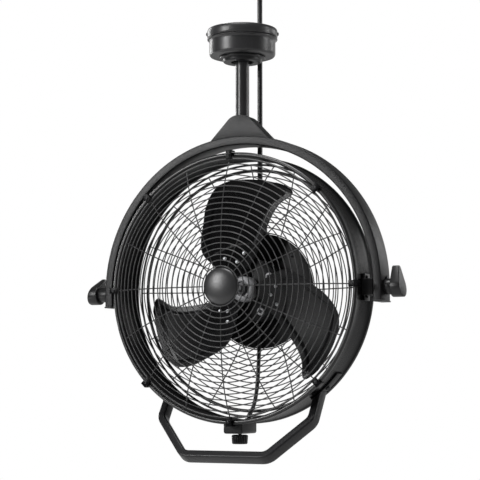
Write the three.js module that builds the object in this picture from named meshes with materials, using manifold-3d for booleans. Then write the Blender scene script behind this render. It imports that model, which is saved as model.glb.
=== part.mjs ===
// Orbital ceiling fan: a drum fan head that tilts in a semicircular yoke, on a short downrod that a
// geared motor in the canopy turns. Millimetres, +Z up, the fan blows towards -Y.
// The origin is the centre of the mounting plate's top face, so everything hangs below z = 0,
// apart from the supply cord, which rises behind the canopy to its ceiling grip.
import * as THREE from "three";
import { mergeVertices } from "three/addons/utils/BufferGeometryUtils.js";
import Module from "manifold-3d";

const wasm = await Module();
wasm.setup();

// ---- driving dimensions ----
const SEAT = 0.3; // gap between two pieces that touch

const RIM_PROUD = 4.3; // canopy: upper rim, past the lower cup
const RIM_HEIGHT = 19;
const CUP_R = 65.5;
const CUP_HEIGHT = 34;
const SHEET = 1.6; // pressed sheet of the canopy
const FLANGE_R = 45.5; // stepped collar under the cup
const STEP_R = 38.3;
const COLLAR_CLEAR = 8.9; // collar to downrod
const PLATE_T = 2.5; // mounting plate
const BOX_SCREWS = [70, 89]; // screw pitches of the two common ceiling boxes
const SCREW_HOLE = 5.5;
const HANGER_DROP = 46; // mounting face to the bearing's hanger plate
const HANGER_T = 3;
const LEG_R = 4;
const HANGER_LEGS = [70, 180, 290]; // degrees round from +X
const GEAR_MODULE = 1.7;
const GEAR_TEETH = 36;
const PINION_TEETH = 12;
const GEAR_T = 7.5;
const WASHER_T = 3; // nylon thrust washer between the races
const RACE_T = 2.5;
const GEARMOTOR_R = 17;
const GEARMOTOR_HEIGHT = 17;

const ROD_R = 13.5; // three-quarter inch pipe
const ROD_WALL = 2.5;
const CROWN_DROP = 217.5; // mounting face to the crown of the yoke

const DRUM_R = 258; // drum wall, outside
const DRUM_WALL = 2;
const BEAD_R = 4.5; // rolled edge of the drum
const FRONT_Y = -49.5; // centre of the front bead, from the tilt axis
const REAR_Y = 33.5; // centre of the rear bead

const PIVOT_GAP = 23.5; // drum wall to the yoke's inner face
const YOKE_T = 17; // radial thickness of the yoke's box section
const YOKE_DEPTH = 48;
const YOKE_WALL = 2;
const YOKE_LEG = 29; // straight leg below the tilt axis
const END_CAP_T = 3;
const GUSSET_CHEEK = 0.2; // downrod's hole to the inside of the gusset's walls
const GUSSET_HALF = 65; // half width at the feet
const GUSSET_BROW = 2.5; // downrod to the end of the gusset's flat top
const GUSSET_HEIGHT = 43; // above the crown of the yoke
const GUSSET_WALL = 2;

const STUD_R = 5; // clamp stud on the tilt axis
const STUD_REACH = 14; // length of the stud inside the pivot block
const BLOCK_HALF_Y = 20;
const BLOCK_FOOT_T = 4;
const BLOCK_FOOT_HALF_Y = 13;
const BLOCK_FOOT_REACH = 10; // past the block, above and below
const BLOCK_CLEAR = 1.6; // block to yoke, so that its corners pass under the arch as it turns
const BLOCK_HALF_Z = 15.5;
const AXIS_DROP = 4; // the tilt axis below the drum's centre
const KNOB_HUB_R = 15;
const KNOB_HUB_L = { left: 24, right: 14 }; // the left lever stands further out
const LEVER_R = 20; // the clamp lever's round end
const LEVER_TIP_R = 6;
const LEVER_REACH = 33; // axis to the centre of the tip
const LEVER_T = 14;
const LEVER_TURN = { left: -33, right: 0 }; // degrees back from upright
const WIRE_R = 1.6; // stand-in wire of the guards
const GUARD_INSET = 9; // drum wall to the guards' outer ring
const FRONT_DOME = 40; // how far the front guard stands out
const FRONT_RINGS = 4;
const REAR_RINGS = 3;
const SPOKES = 8;
const BADGE_R = 36.5;
const BADGE_T = 6;
const CLIPS = 8;
const CLIP_W = 12;
const CLIP_T = 3;

const MOTOR_PLATE_R = 115;
const MOTOR_PLATE_Y = 83;
const MOTOR_PLATE_T = 2;
const MOTOR_R = 62;
const MOTOR_FRONT_Y = 38;
const END_BELL_T = 9;
const SHAFT_R = 6;
const COVER_R = 60;
const COVER_DEPTH = 37;
const HUB_R = 25;
const HUB_FRONT_Y = -4;
const HUB_T = 26;
const SPIDER_R = 84;
const BLADE_COUNT = 3;
const KNOB_FORWARD = 1.4; // speed knob, from the middle of its box
const BLADE_TIP_GAP = 41; // blade tips to the drum wall
const BLADE_T = 2.4;
const BLADE_PITCH = { root: 30, tip: 14 }; // degrees
const BLADE_SWEEP = 20; // degrees that the tips trail behind the arms
const FIRST_BLADE = 110; // degrees, anticlockwise from +X as seen from the front

const BOX_HALF_X = 20.7; // switch box under the drum
const BOX_FRONT_Y = -43;
const BOX_BACK_Y = 23;
const BOX_HEIGHT = 22;
const BOX_WALL = 2;
const SPEED_KNOB_R = 16;
const SPEED_KNOB_H = 18;
const SPEED_KNOB_FLUTES = 20;
const STEM_R = 3.5;

const HANDLE_FOOT = 38.6; // legs, degrees round from the drum's lowest point
const HANDLE_BAR_HALF = 88; // half width where the bar meets the slants
const HANDLE_W = 15; // section in the handle's plane
const HANDLE_D = 26; // section across the handle's plane
const HANDLE_LEAN = 34; // degrees forward
const HANDLE_DROP = 65; // drum wall to the middle of the bar
const HANDLE_BAR_Y = -73;
const HANDLE_BEND_UP = 82; // bar to the slants' upper bends, in the handle's plane
const HANDLE_FILLET = 26;
const BRACKET_T = 3;
const BRACKET_W = 26;
const BRACKET_Y = 8; // behind the tilt axis

const CORD_R = 5.2;
const CORD_Y = 80; // behind the downrod
const CORD_TOP = 86; // above the mounting face
const CORD_SPLIT = 258; // height above the tilt axis where the hanging part ends
const GRIP_R = 22;
const GRIP_H = 24;
const GLAND_R = 9;
const LEAD_R = 4;

// ---- values worked out from them ----
const YOKE_IN = DRUM_R + PIVOT_GAP;
const YOKE_OUT = YOKE_IN + YOKE_T;
const PIVOT_Z = -(CROWN_DROP + YOKE_OUT);
const RIM_R = CUP_R + RIM_PROUD;
const COLLAR_BORE_R = ROD_R + COLLAR_CLEAR;
const GUSSET_DEPTH = 2 * (ROD_R + SEAT + GUSSET_WALL + GUSSET_CHEEK);
const GUSSET_TOP_HALF = ROD_R + GUSSET_BROW;
const BLADE_TIP_R = DRUM_R - BLADE_TIP_GAP;
const GUARD_R = DRUM_R - GUARD_INSET;
const ROUND = 32; // sides of a large round piece
const GEAR_R = (GEAR_MODULE * GEAR_TEETH) / 2;
const PINION_R = (GEAR_MODULE * PINION_TEETH) / 2;
const PINION_X = GEAR_R + PINION_R;
const RAD = Math.PI / 180;

// ---- materials ----
const finish = (color, roughness, metalness) => new THREE.MeshStandardMaterial({ color, roughness, metalness });
const BLACK_COAT = finish(0x2b2c2e, 0.42, 0.3);
const BLACK_WIRE = finish(0x202124, 0.4, 0.3);
const BLACK_PLASTIC = finish(0x17181a, 0.5, 0);
const BLADE_COAT = finish(0x1d1e20, 0.45, 0.3);
const SATIN = finish(0x77797c, 0.35, 0.8);
const ZINC = finish(0xb9bcc0, 0.35, 0.9);
const STEEL = finish(0x8d9094, 0.3, 0.9);
const CORD_JACKET = finish(0x101113, 0.35, 0);
const NYLON = finish(0xd8d4c8, 0.5, 0);

// ---- solids ----
// A geometry as a solid with its faces pointing out.
function solid(geometry) {
  const bare = geometry.clone();
  for (const name of Object.keys(bare.attributes)) if (name !== "position") bare.deleteAttribute(name);
  const merged = mergeVertices(bare, 1e-4);
  const p = merged.attributes.position.array;
  const index = merged.index.array;
  const faces = [];
  let volume = 0;
  for (let i = 0; i < index.length; i += 3) {
    const [a, b, c] = index.slice(i, i + 3);
    if (a === b || b === c || a === c) continue;
    faces.push(a, b, c);
    const [u, v, w] = [a, b, c].map((k) => new THREE.Vector3(p[3 * k], p[3 * k + 1], p[3 * k + 2]));
    volume += u.dot(v.cross(w));
  }
  if (volume < 0) faces.reverse();
  return new wasm.Manifold(
    new wasm.Mesh({ numProp: 3, vertProperties: Float32Array.from(p), triVerts: Uint32Array.from(faces) }),
  );
}

function geometryOf(body) {
  const mesh = body.getMesh();
  const geometry = new THREE.BufferGeometry();
  geometry.setAttribute("position", new THREE.BufferAttribute(mesh.vertProperties, 3));
  geometry.setIndex(new THREE.BufferAttribute(mesh.triVerts, 1));
  return geometry;
}

const join = (...bodies) => bodies.reduce((a, b) => a.add(b));
const cut = (body, ...tools) => tools.reduce((a, b) => a.subtract(b), body);

function box(x0, x1, y0, y1, z0, z1) {
  const g = new THREE.BoxGeometry(x1 - x0, y1 - y0, z1 - z0);
  return solid(g.translate((x0 + x1) / 2, (y0 + y1) / 2, (z0 + z1) / 2));
}

// A closed profile of [radius, height] points turned about an axis.
function turned(axis, profile, segments = 32) {
  const first = profile[0];
  const points = [...profile, first].map(([r, h]) => new THREE.Vector2(r, h));
  const g = new THREE.LatheGeometry(points, segments);
  if (axis === "z") g.rotateX(Math.PI / 2);
  if (axis === "x") g.rotateZ(-Math.PI / 2);
  return solid(g);
}

const ring = (axis, inner, outer, low, high, segments) =>
  turned(axis, [[inner, low], [outer, low], [outer, high], [inner, high]], segments);
const rod = (axis, r, low, high, segments = 16) => ring(axis, 0, r, low, high, segments);

// A flat outline in the XZ plane, extruded along Y from y0 to y1.
function slab(shape, y0, y1, curveSegments = 12) {
  const g = new THREE.ExtrudeGeometry(shape, { depth: y1 - y0, bevelEnabled: false, curveSegments });
  return solid(g.rotateX(Math.PI / 2).translate(0, y1, 0));
}

const outline = (points) => new THREE.Shape(points.map(([x, z]) => new THREE.Vector2(x, z)));

function tube(points, radius, sides, steps, closed = false) {
  const path = new THREE.CatmullRomCurve3(points.map((p) => new THREE.Vector3(...p)), closed);
  const section = new THREE.Shape().absarc(0, 0, radius, 0, 2 * Math.PI);
  const options = { steps, extrudePath: path, bevelEnabled: false, curveSegments: sides };
  return solid(new THREE.ExtrudeGeometry(section, options));
}

const polar = (r, degrees) => [r * Math.cos(degrees * RAD), r * Math.sin(degrees * RAD)];

function addMesh(group, name, body, material) {
  const mesh = new THREE.Mesh(geometryOf(body), material);
  mesh.name = name;
  group.add(mesh);
  return mesh;
}

// ---- ceiling mount: what is fixed to the ceiling ----
const PLATE_R = CUP_R - SHEET - SEAT;
const PLATE_LIP = 15;
const SCREW_TURN = 25; // the canopy screws, degrees round from -X
const SCREW_Z = -10;
const CUP_TOP = -RIM_HEIGHT - 1.3;
const CUP_BOTTOM = CUP_TOP - CUP_HEIGHT - 2;

function mountingPlate() {
  const disc = rod("z", PLATE_R, -PLATE_T, 0, ROUND);
  const lip = ring("z", PLATE_R - 2, PLATE_R, -PLATE_LIP, -PLATE_T + 1, ROUND);
  const [near, far] = BOX_SCREWS.map((pitch) => pitch / 2);
  const slots = [0, 180].map((turn) =>
    box(-SCREW_HOLE / 2, SCREW_HOLE / 2, near - 3, far + 3, -PLATE_T - 1, 1).rotate([0, 0, turn]),
  );
  const wires = rod("z", 8, -PLATE_T - 1, 1, 16).translate([-18, -18, 0]);
  const screws = rod("x", 2.4, -RIM_R, RIM_R, 12).rotate([0, 0, SCREW_TURN]).translate([0, 0, SCREW_Z]);
  return cut(join(disc, lip), ...slots, wires, screws);
}

function canopyRim() {
  const inner = PLATE_R + SEAT;
  const profile = [
    [inner, -1], [RIM_R - 3, -1], [RIM_R - 0.6, -5], [RIM_R, -RIM_HEIGHT + 4],
    [RIM_R - 1.4, -RIM_HEIGHT], [inner, -RIM_HEIGHT],
  ];
  const screws = rod("x", 2.4, -RIM_R - 2, RIM_R + 2, 12);
  return cut(turned("z", profile, ROUND), screws.rotate([0, 0, SCREW_TURN]).translate([0, 0, SCREW_Z]));
}

function canopyCup() {
  const hole = COLLAR_BORE_R + 4;
  const profile = [
    [CUP_R - SHEET, CUP_TOP], [RIM_R, CUP_TOP], [CUP_R, CUP_TOP - 5], [CUP_R, CUP_BOTTOM + 5],
    [CUP_R - 3, CUP_BOTTOM + 1], [FLANGE_R, CUP_BOTTOM], [hole, CUP_BOTTOM], [hole, CUP_BOTTOM + SHEET],
    [CUP_R - 5, CUP_BOTTOM + 3], [CUP_R - SHEET, CUP_BOTTOM + 6],
  ];
  return turned("z", profile, ROUND);
}

function canopyCollar() {
  const top = CUP_BOTTOM - SEAT;
  const profile = [
    [COLLAR_BORE_R, -HANGER_DROP - HANGER_T - SEAT], [COLLAR_BORE_R + 3.6, -HANGER_DROP - HANGER_T - SEAT],
    [COLLAR_BORE_R + 3.6, top], [FLANGE_R, top], [FLANGE_R, top - 2.5], [FLANGE_R - 1.5, top - 4.5],
    [STEP_R, top - 4.5], [STEP_R, top - 8], [STEP_R - 3, top - 11], [COLLAR_BORE_R, top - 11],
  ];
  return turned("z", profile, ROUND);
}

// The bearing's plate hangs from the mounting plate on three legs.
function hangerBracket() {
  const plate = ring("z", COLLAR_BORE_R - 2, CUP_R - 7, -HANGER_DROP - HANGER_T, -HANGER_DROP, ROUND);
  const legs = HANGER_LEGS.map((angle) =>
    rod("z", LEG_R, -HANGER_DROP - 1, -PLATE_T - SEAT, 6).translate([...polar(CUP_R - 15, angle), 0]),
  );
  return join(plate, ...legs);
}

const RACE_IN = ROD_R + 6;
const RACE_OUT = RACE_IN + 10;
const LOWER_RACE_Z = -HANGER_DROP + SEAT;
const WASHER_Z = LOWER_RACE_Z + RACE_T + SEAT;
const UPPER_RACE_Z = WASHER_Z + WASHER_T + SEAT;
const GEAR_Z = UPPER_RACE_Z + RACE_T + SEAT;

// An involute spur gear's outline, with clearance at the root and between the flanks.
function gearOutline(teeth) {
  const pitch = (GEAR_MODULE * teeth) / 2;
  const base = pitch * Math.cos(20 * RAD);
  const involute = (r) => {
    const a = Math.acos(Math.min(1, base / r));
    return Math.tan(a) - a;
  };
  const half = (0.42 * Math.PI) / teeth;
  const radii = [pitch - 1.2 * GEAR_MODULE, pitch + 0.9 * GEAR_MODULE];
  const points = [];
  for (let i = 0; i < teeth; i++) {
    const middle = (2 * Math.PI * i) / teeth;
    const flank = radii.map((r) => [r, half + involute(pitch) - involute(Math.max(r, base))]);
    for (const [r, a] of flank) points.push([r * Math.cos(middle - a), r * Math.sin(middle - a)]);
    for (const [r, a] of flank.reverse()) points.push([r * Math.cos(middle + a), r * Math.sin(middle + a)]);
  }
  return outline(points);
}

function spurGear(teeth, thickness) {
  return solid(new THREE.ExtrudeGeometry(gearOutline(teeth), { depth: thickness, bevelEnabled: false }));
}

function orbitPinion() {
  const halfTooth = 180 / PINION_TEETH; // turned so that a gap meets the gear's tooth
  const teeth = spurGear(PINION_TEETH, GEAR_T).rotate([0, 0, 180 - halfTooth]);
  const shaftTop = -PLATE_T - GEARMOTOR_HEIGHT - SEAT + 8;
  return join(teeth.translate([0, 0, GEAR_Z]), rod("z", 2.5, GEAR_Z + 1, shaftTop, 12)).translate([PINION_X, 0, 0]);
}

function gearMotor() {
  const top = -PLATE_T - SEAT;
  const can = rod("z", GEARMOTOR_R, top - GEARMOTOR_HEIGHT, top, 32);
  const boss = rod("z", 5, top - GEARMOTOR_HEIGHT - 1.5, top - GEARMOTOR_HEIGHT + 1, 16);
  const bore = rod("z", 2.9, top - GEARMOTOR_HEIGHT - 2, top - GEARMOTOR_HEIGHT + 9, 12);
  return cut(join(can, boss), bore).translate([PINION_X, 0, 0]);
}

function terminalBlock() {
  const top = -PLATE_T - SEAT;
  const body = box(-8, 8, -15, 15, top - 11, top);
  const cells = [-9.5, 0, 9.5].map((y) => box(-5, 5, y - 3, y + 3, top - 12, top - 4));
  return cut(body, ...cells).rotate([0, 0, 45]).translate([-32, -32, 0]);
}

function cordGrip() {
  const profile = [
    [CORD_R + SEAT, CORD_TOP], [9, CORD_TOP], [12, CORD_TOP + 7], [GRIP_R, CORD_TOP + 11],
    [GRIP_R, CORD_TOP + GRIP_H], [CORD_R + SEAT, CORD_TOP + GRIP_H],
  ];
  return turned("z", profile, 24).translate([0, CORD_Y, 0]);
}

const fan = new THREE.Group();
const ceilingMount = new THREE.Group();
fan.add(ceilingMount);
addMesh(ceilingMount, "mounting_plate", mountingPlate(), ZINC);
addMesh(ceilingMount, "canopy_rim", canopyRim(), BLACK_COAT);
addMesh(ceilingMount, "canopy_cup", canopyCup(), BLACK_COAT);
addMesh(ceilingMount, "canopy_collar", canopyCollar(), BLACK_COAT);
addMesh(ceilingMount, "hanger_bracket", hangerBracket(), ZINC);
addMesh(
  ceilingMount, "bearing_race_lower",
  ring("z", RACE_IN, RACE_OUT, LOWER_RACE_Z, LOWER_RACE_Z + RACE_T, 24), STEEL,
);
addMesh(
  ceilingMount, "thrust_washer", ring("z", RACE_IN + 1, RACE_OUT - 1, WASHER_Z, WASHER_Z + WASHER_T, 24), NYLON,
);
addMesh(ceilingMount, "gear_motor", gearMotor(), STEEL);
addMesh(ceilingMount, "terminal_block", terminalBlock(), NYLON);
addMesh(ceilingMount, "cord_ceiling_grip", cordGrip(), BLACK_PLASTIC);
addMesh(ceilingMount, "orbit_pinion", orbitPinion(), NYLON);

// ---- orbit: what the geared motor turns about the vertical axis ----
const HUB_TOP = -PLATE_T - 8;
const PIN_Z = HUB_TOP - 7;

function orbitGear() {
  const teeth = spurGear(GEAR_TEETH, GEAR_T).translate([0, 0, GEAR_Z]);
  const sleeve = rod("z", ROD_R + 4.7, GEAR_Z + 1, HUB_TOP, 24);
  return cut(
    join(teeth, sleeve),
    rod("z", ROD_R + SEAT, GEAR_Z - 1, HUB_TOP + 1, 24),
    rod("x", 3 + SEAT, -30, 30, 12).translate([0, 0, PIN_Z]),
  );
}

function downrod() {
  const pipe = ring("z", ROD_R - ROD_WALL, ROD_R, -CROWN_DROP + SEAT, HUB_TOP + 1, 24);
  return cut(pipe, rod("x", 3 + SEAT, -30, 30, 12).translate([0, 0, PIN_Z]));
}

const rodPin = () => rod("x", 3, -ROD_R - 4, ROD_R + 4, 12).translate([0, 0, PIN_Z]);

// The yoke's outline in its plane, from the tilt axis: an arch with two straight legs.
function archShape(inner, outer, leg) {
  const shape = new THREE.Shape();
  shape.moveTo(outer, -leg).lineTo(outer, 0).absarc(0, 0, outer, 0, Math.PI, false);
  shape.lineTo(-outer, -leg).lineTo(-inner, -leg).lineTo(-inner, 0);
  shape.absarc(0, 0, inner, Math.PI, 0, true).lineTo(inner, -leg).closePath();
  return shape;
}

const ARCH_STEPS = 24;
function yokeArch() {
  const half = YOKE_DEPTH / 2;
  const outer = slab(archShape(YOKE_IN, YOKE_OUT, YOKE_LEG), -half, half, ARCH_STEPS);
  const room = archShape(YOKE_IN + YOKE_WALL, YOKE_OUT - YOKE_WALL, YOKE_LEG + 5);
  const hollow = slab(room, YOKE_WALL - half, half - YOKE_WALL, ARCH_STEPS);
  const bores = rod("x", STUD_R + 1, -YOKE_OUT - 1, YOKE_OUT + 1, 16);
  return cut(outer, hollow, bores.translate([0, 0, -AXIS_DROP]));
}

function yokeEndCap(side) {
  const low = -YOKE_LEG - SEAT - END_CAP_T;
  const middle = side * (YOKE_IN + YOKE_T / 2);
  const half = YOKE_T / 2 + 1;
  const depth = YOKE_DEPTH / 2 + 1;
  const lip = box(middle - half, middle + half, -depth, depth, low, -YOKE_LEG - SEAT);
  const inset = YOKE_WALL + SEAT;
  const plug = box(
    middle - half + 1 + inset, middle + half - 1 - inset,
    inset + 1 - depth, depth - 1 - inset, low + 1, -YOKE_LEG + 3,
  );
  return join(lip, plug);
}

function gussetShape(inset, low) {
  const top = YOKE_OUT + GUSSET_HEIGHT - inset;
  const crown = YOKE_OUT + GUSSET_HEIGHT;
  const slope = (GUSSET_HALF - GUSSET_TOP_HALF) / (crown - Math.sqrt(YOKE_OUT ** 2 - GUSSET_HALF ** 2));
  const half = GUSSET_TOP_HALF + slope * (crown - low) - inset * 1.4;
  const shape = new THREE.Shape();
  shape.moveTo(-half, low).lineTo(-GUSSET_TOP_HALF - 5 + inset, top - 5);
  shape.quadraticCurveTo(-GUSSET_TOP_HALF + 1 + inset, top, -GUSSET_TOP_HALF + 8, top);
  shape.lineTo(GUSSET_TOP_HALF - 8, top);
  shape.quadraticCurveTo(GUSSET_TOP_HALF - 1 - inset, top, GUSSET_TOP_HALF + 5 - inset, top - 5);
  shape.lineTo(half, low).closePath();
  return shape;
}

function gusset() {
  const half = GUSSET_DEPTH / 2;
  const foot = Math.sqrt(YOKE_OUT ** 2 - GUSSET_HALF ** 2) - 2;
  const outer = slab(gussetShape(0, foot), -half, half, 6);
  const hollow = slab(gussetShape(GUSSET_WALL, foot - 10), GUSSET_WALL - half, half - GUSSET_WALL, 6);
  const arch = rod("y", YOKE_OUT + SEAT, -half - 1, half + 1, 160);
  const bore = rod("z", ROD_R + SEAT, YOKE_OUT, YOKE_OUT + GUSSET_HEIGHT + 5, 24);
  return cut(outer, hollow, arch, bore);
}

const orbit = new THREE.Group();
fan.add(orbit);
addMesh(
  orbit, "bearing_race_upper", ring("z", RACE_IN, RACE_OUT, UPPER_RACE_Z, UPPER_RACE_Z + RACE_T, 24), STEEL,
);
addMesh(orbit, "orbit_gear", orbitGear(), NYLON);
addMesh(orbit, "downrod", downrod(), BLACK_COAT);
addMesh(orbit, "rod_pin", rodPin(), ZINC);

const yoke = new THREE.Group();
yoke.position.z = PIVOT_Z;
orbit.add(yoke);
addMesh(yoke, "gusset", gusset(), BLACK_COAT);
addMesh(yoke, "yoke_arch", yokeArch(), BLACK_COAT);
addMesh(yoke, "yoke_end_cap_left", yokeEndCap(-1), BLACK_PLASTIC);
addMesh(yoke, "yoke_end_cap_right", yokeEndCap(1), BLACK_PLASTIC);
addMesh(
  yoke, "cord_drop",
  tube([[0, CORD_Y, CORD_SPLIT], [0, CORD_Y, CORD_TOP - PIVOT_Z - SEAT]], CORD_R, 5, 3), CORD_JACKET,
);

// ---- clamp levers: a stud on the tilt axis with a hub and a drop-shaped lever ----
const leverOutline = () => {
  const tilt = Math.asin((LEVER_R - LEVER_TIP_R) / LEVER_REACH); // where the straight flanks leave the arcs
  const shape = new THREE.Shape();
  shape.absarc(0, 0, LEVER_R, Math.PI - tilt, 2 * Math.PI + tilt, false);
  shape.absarc(0, LEVER_REACH, LEVER_TIP_R, tilt, Math.PI - tilt, false);
  return shape.closePath();
};

function clampLever(name) {
  const face = YOKE_OUT + SEAT;
  const hubEnd = face + KNOB_HUB_L[name];
  const hub = rod("x", KNOB_HUB_R, face, hubEnd + 1, 20);
  const g = new THREE.ExtrudeGeometry(leverOutline(), { depth: LEVER_T, bevelEnabled: false, curveSegments: 8 });
  const lever = solid(g.rotateX(Math.PI / 2).rotateZ(Math.PI / 2).translate(hubEnd, 0, 0));
  const stud = rod("x", STUD_R, YOKE_IN - STUD_REACH, face + 3, 14);
  const turn = name === "left" ? LEVER_TURN.left : -LEVER_TURN.right;
  const knob = join(hub, lever, stud).rotate([turn, 0, 0]);
  return (name === "left" ? knob.mirror([1, 0, 0]) : knob).translate([0, 0, -AXIS_DROP]);
}

addMesh(yoke, "clamp_lever_left", clampLever("left"), BLACK_PLASTIC);
addMesh(yoke, "clamp_lever_right", clampLever("right"), BLACK_PLASTIC);

// ---- head: the drum and all that tilts with it ----
const head = new THREE.Group();
head.position.z = PIVOT_Z;
orbit.add(head);

const BOX_TOP = -DRUM_R - SEAT;
const GROMMET = [8, 13];

const DRUM_SIDES = 56;
function drum() {
  const wall = DRUM_R - DRUM_WALL;
  const beadIn = DRUM_R - 2 * BEAD_R + 4;
  const out = DRUM_R + BEAD_R;
  const profile = [
    [wall, FRONT_Y + 3], [beadIn, FRONT_Y - BEAD_R], [DRUM_R + 1.5, FRONT_Y - BEAD_R],
    [out, FRONT_Y - 1.5], [out, FRONT_Y + 1.5], [DRUM_R, FRONT_Y + 5],
    [DRUM_R, REAR_Y - 5], [out, REAR_Y - 1.5], [out, REAR_Y + 1.5],
    [DRUM_R + 1.5, REAR_Y + BEAD_R], [beadIn - 4, REAR_Y + BEAD_R], [wall, REAR_Y - 2],
  ];
  const leadHole = rod("z", 6, -DRUM_R - 2, -wall + 2, 12).translate([...GROMMET, 0]);
  const handleHoles = [-1, 1].map((side) => handleBoltTool(side, 3.3));
  return cut(turned("y", profile, DRUM_SIDES), leadHole, ...handleHoles);
}

const frontDomeY = (r) => FRONT_Y - BEAD_R - SEAT - WIRE_R - FRONT_DOME * (1 - (r / GUARD_R) ** 3.9);
function rearDishY(r) {
  const inner = MOTOR_PLATE_R + SEAT;
  const rim = REAR_Y + BEAD_R + SEAT + WIRE_R;
  const share = (r - inner) / (GUARD_R - inner);
  return rim + (MOTOR_PLATE_Y + MOTOR_PLATE_T / 2 - rim) * (1 - Math.max(0, share) ** 1.5);
}

// A round guard: rings and spokes of square wire that follow a dish.
function guard(dishY, inner, outer, rings) {
  const parts = [];
  const spread = (outer - inner) / (rings - 1);
  for (let i = 0; i < rings; i++) {
    const r = inner + i * spread;
    parts.push(ring("y", r - WIRE_R, r + WIRE_R, dishY(r) - WIRE_R, dishY(r) + WIRE_R, ROUND));
  }
  for (let k = 0; k < SPOKES; k++) {
    const points = [];
    for (let i = 0; i < rings; i++) points.push([inner + i * spread, dishY(inner + i * spread)]);
    const thick = 0.8 * WIRE_R;
    const face = [...points.map(([r, y]) => [r, y - thick]), ...points.reverse().map(([r, y]) => [r, y + thick])];
    const g = new THREE.ExtrudeGeometry(outline(face), { depth: 2 * thick, bevelEnabled: false });
    parts.push(solid(g.translate(0, 0, -thick)).rotate([0, 90 + (360 * k) / SPOKES, 0]));
  }
  return join(...parts);
}

const frontGuard = () => guard(frontDomeY, BADGE_R + WIRE_R + SEAT, GUARD_R, FRONT_RINGS);
const rearGuard = () => guard(rearDishY, MOTOR_PLATE_R + WIRE_R + SEAT, GUARD_R, REAR_RINGS);

function badge() {
  const back = frontDomeY(BADGE_R) + WIRE_R;
  const front = back - BADGE_T;
  return turned("y", [
    [0, back], [BADGE_R, back], [BADGE_R, front + 3], [BADGE_R - 4, front + 0.6], [BADGE_R / 2, front - 1.6],
    [0, front - 2.2],
  ], 32);
}

function guardClip(i) {
  const front = FRONT_Y - BEAD_R - 2 * WIRE_R - 3 * SEAT;
  const strap = box(GUARD_R - 0.9, DRUM_R + BEAD_R + SEAT + CLIP_T, front - CLIP_T, front, -CLIP_W / 2, CLIP_W / 2);
  const hook = box(
    DRUM_R + BEAD_R + SEAT, DRUM_R + BEAD_R + SEAT + CLIP_T, front - 1, FRONT_Y + 5, -CLIP_W / 2, CLIP_W / 2,
  );
  const screw = rod("y", 3, front - CLIP_T - 2, front - CLIP_T + 1, 8).translate([DRUM_R - 1, 0, 0]);
  return join(strap, hook, screw).rotate([0, (360 * i) / CLIPS, 0]);
}

function motorPlate() {
  const y0 = MOTOR_PLATE_Y;
  const y1 = y0 + MOTOR_PLATE_T;
  const wires = rod("y", 8, y0 - 1, y1 + 1, 12).translate([0, 0, -40]);
  return cut(rod("y", MOTOR_PLATE_R, y0, y1, ROUND), wires);
}

function motorHousing() {
  const body = rod("y", MOTOR_R, MOTOR_FRONT_Y, MOTOR_PLATE_Y - SEAT, ROUND);
  const rotorRoom = rod("y", MOTOR_R - 16, MOTOR_FRONT_Y - 1, MOTOR_FRONT_Y + 34, 24);
  return cut(body, rotorRoom);
}

function motorEndBell() {
  const back = MOTOR_FRONT_Y - SEAT;
  const profile = [
    [SHAFT_R + 0.5, back], [MOTOR_R, back], [MOTOR_R, back - 3], [MOTOR_R - 12, back - END_BELL_T + 2],
    [20, back - END_BELL_T], [SHAFT_R + 0.5, back - END_BELL_T],
  ];
  return turned("y", profile, ROUND);
}

function motorCover() {
  const front = MOTOR_PLATE_Y + MOTOR_PLATE_T + SEAT;
  const back = front + COVER_DEPTH;
  const shell = turned("y", [
    [COVER_R - 2, front], [COVER_R, front], [COVER_R, back - 9], [COVER_R - 8, back], [0, back],
    [0, back - 2], [COVER_R - 9, back - 2], [COVER_R - 2, back - 10],
  ], ROUND);
  const glandHole = rod("z", GLAND_R - 3, 0, COVER_R + 2, 14).translate([0, GLAND_Y, 0]);
  return cut(shell, glandHole);
}

const GLAND_Y = MOTOR_PLATE_Y + MOTOR_PLATE_T + 19;
const GLAND_TOP = COVER_R + 15;
function cordGland() {
  const profile = [
    [0, COVER_R - 5], [GLAND_R - 3.4, COVER_R - 5], [GLAND_R - 3.4, COVER_R + SEAT], [GLAND_R, COVER_R + SEAT],
    [GLAND_R, COVER_R + 7], [CORD_R + 1, GLAND_TOP], [0, GLAND_TOP],
  ];
  return turned("z", profile, 14).translate([0, GLAND_Y, 0]);
}

// The cord's route behind the rear guard, from where it enters the drum's outline to the gland.
function cordTail() {
  const points = [
    [CORD_Y, CORD_SPLIT - SEAT], [CORD_Y, 235], [CORD_Y + 0.5, 212], [CORD_Y + 4, 188], [CORD_Y + 12, 162],
    [GLAND_Y - 5, 138], [GLAND_Y - 0.7, 114], [GLAND_Y, 92], [GLAND_Y, GLAND_TOP + SEAT],
  ];
  return tube(points.map(([y, z]) => [0, y, z]), CORD_R, 5, 12);
}

function motorLead() {
  const wall = -(DRUM_R - DRUM_WALL);
  const [gx, gy] = GROMMET;
  const points = [
    [0, MOTOR_PLATE_Y - 14, -MOTOR_R - 3], [0, MOTOR_PLATE_Y - 9, -85], [1, MOTOR_PLATE_Y - 10, -112],
    [3, 66, -145], [5, 58, -176], [6, 49, -204], [gx - 1, gy + 24, -225], [gx, gy + 9, -239],
    [gx, gy, -245], [gx, gy, wall + 5 + SEAT],
  ];
  return tube(points, LEAD_R, 5, 16);
}

function leadGrommet() {
  const wall = -(DRUM_R - DRUM_WALL);
  const profile = [
    [0, -DRUM_R - 1.5], [5.6, -DRUM_R - 1.5], [5.6, wall + 1.2], [9, wall + 1.2], [9, wall + 3], [7, wall + 5],
    [0, wall + 5],
  ];
  return turned("z", profile, 14).translate([...GROMMET, 0]);
}

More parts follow.
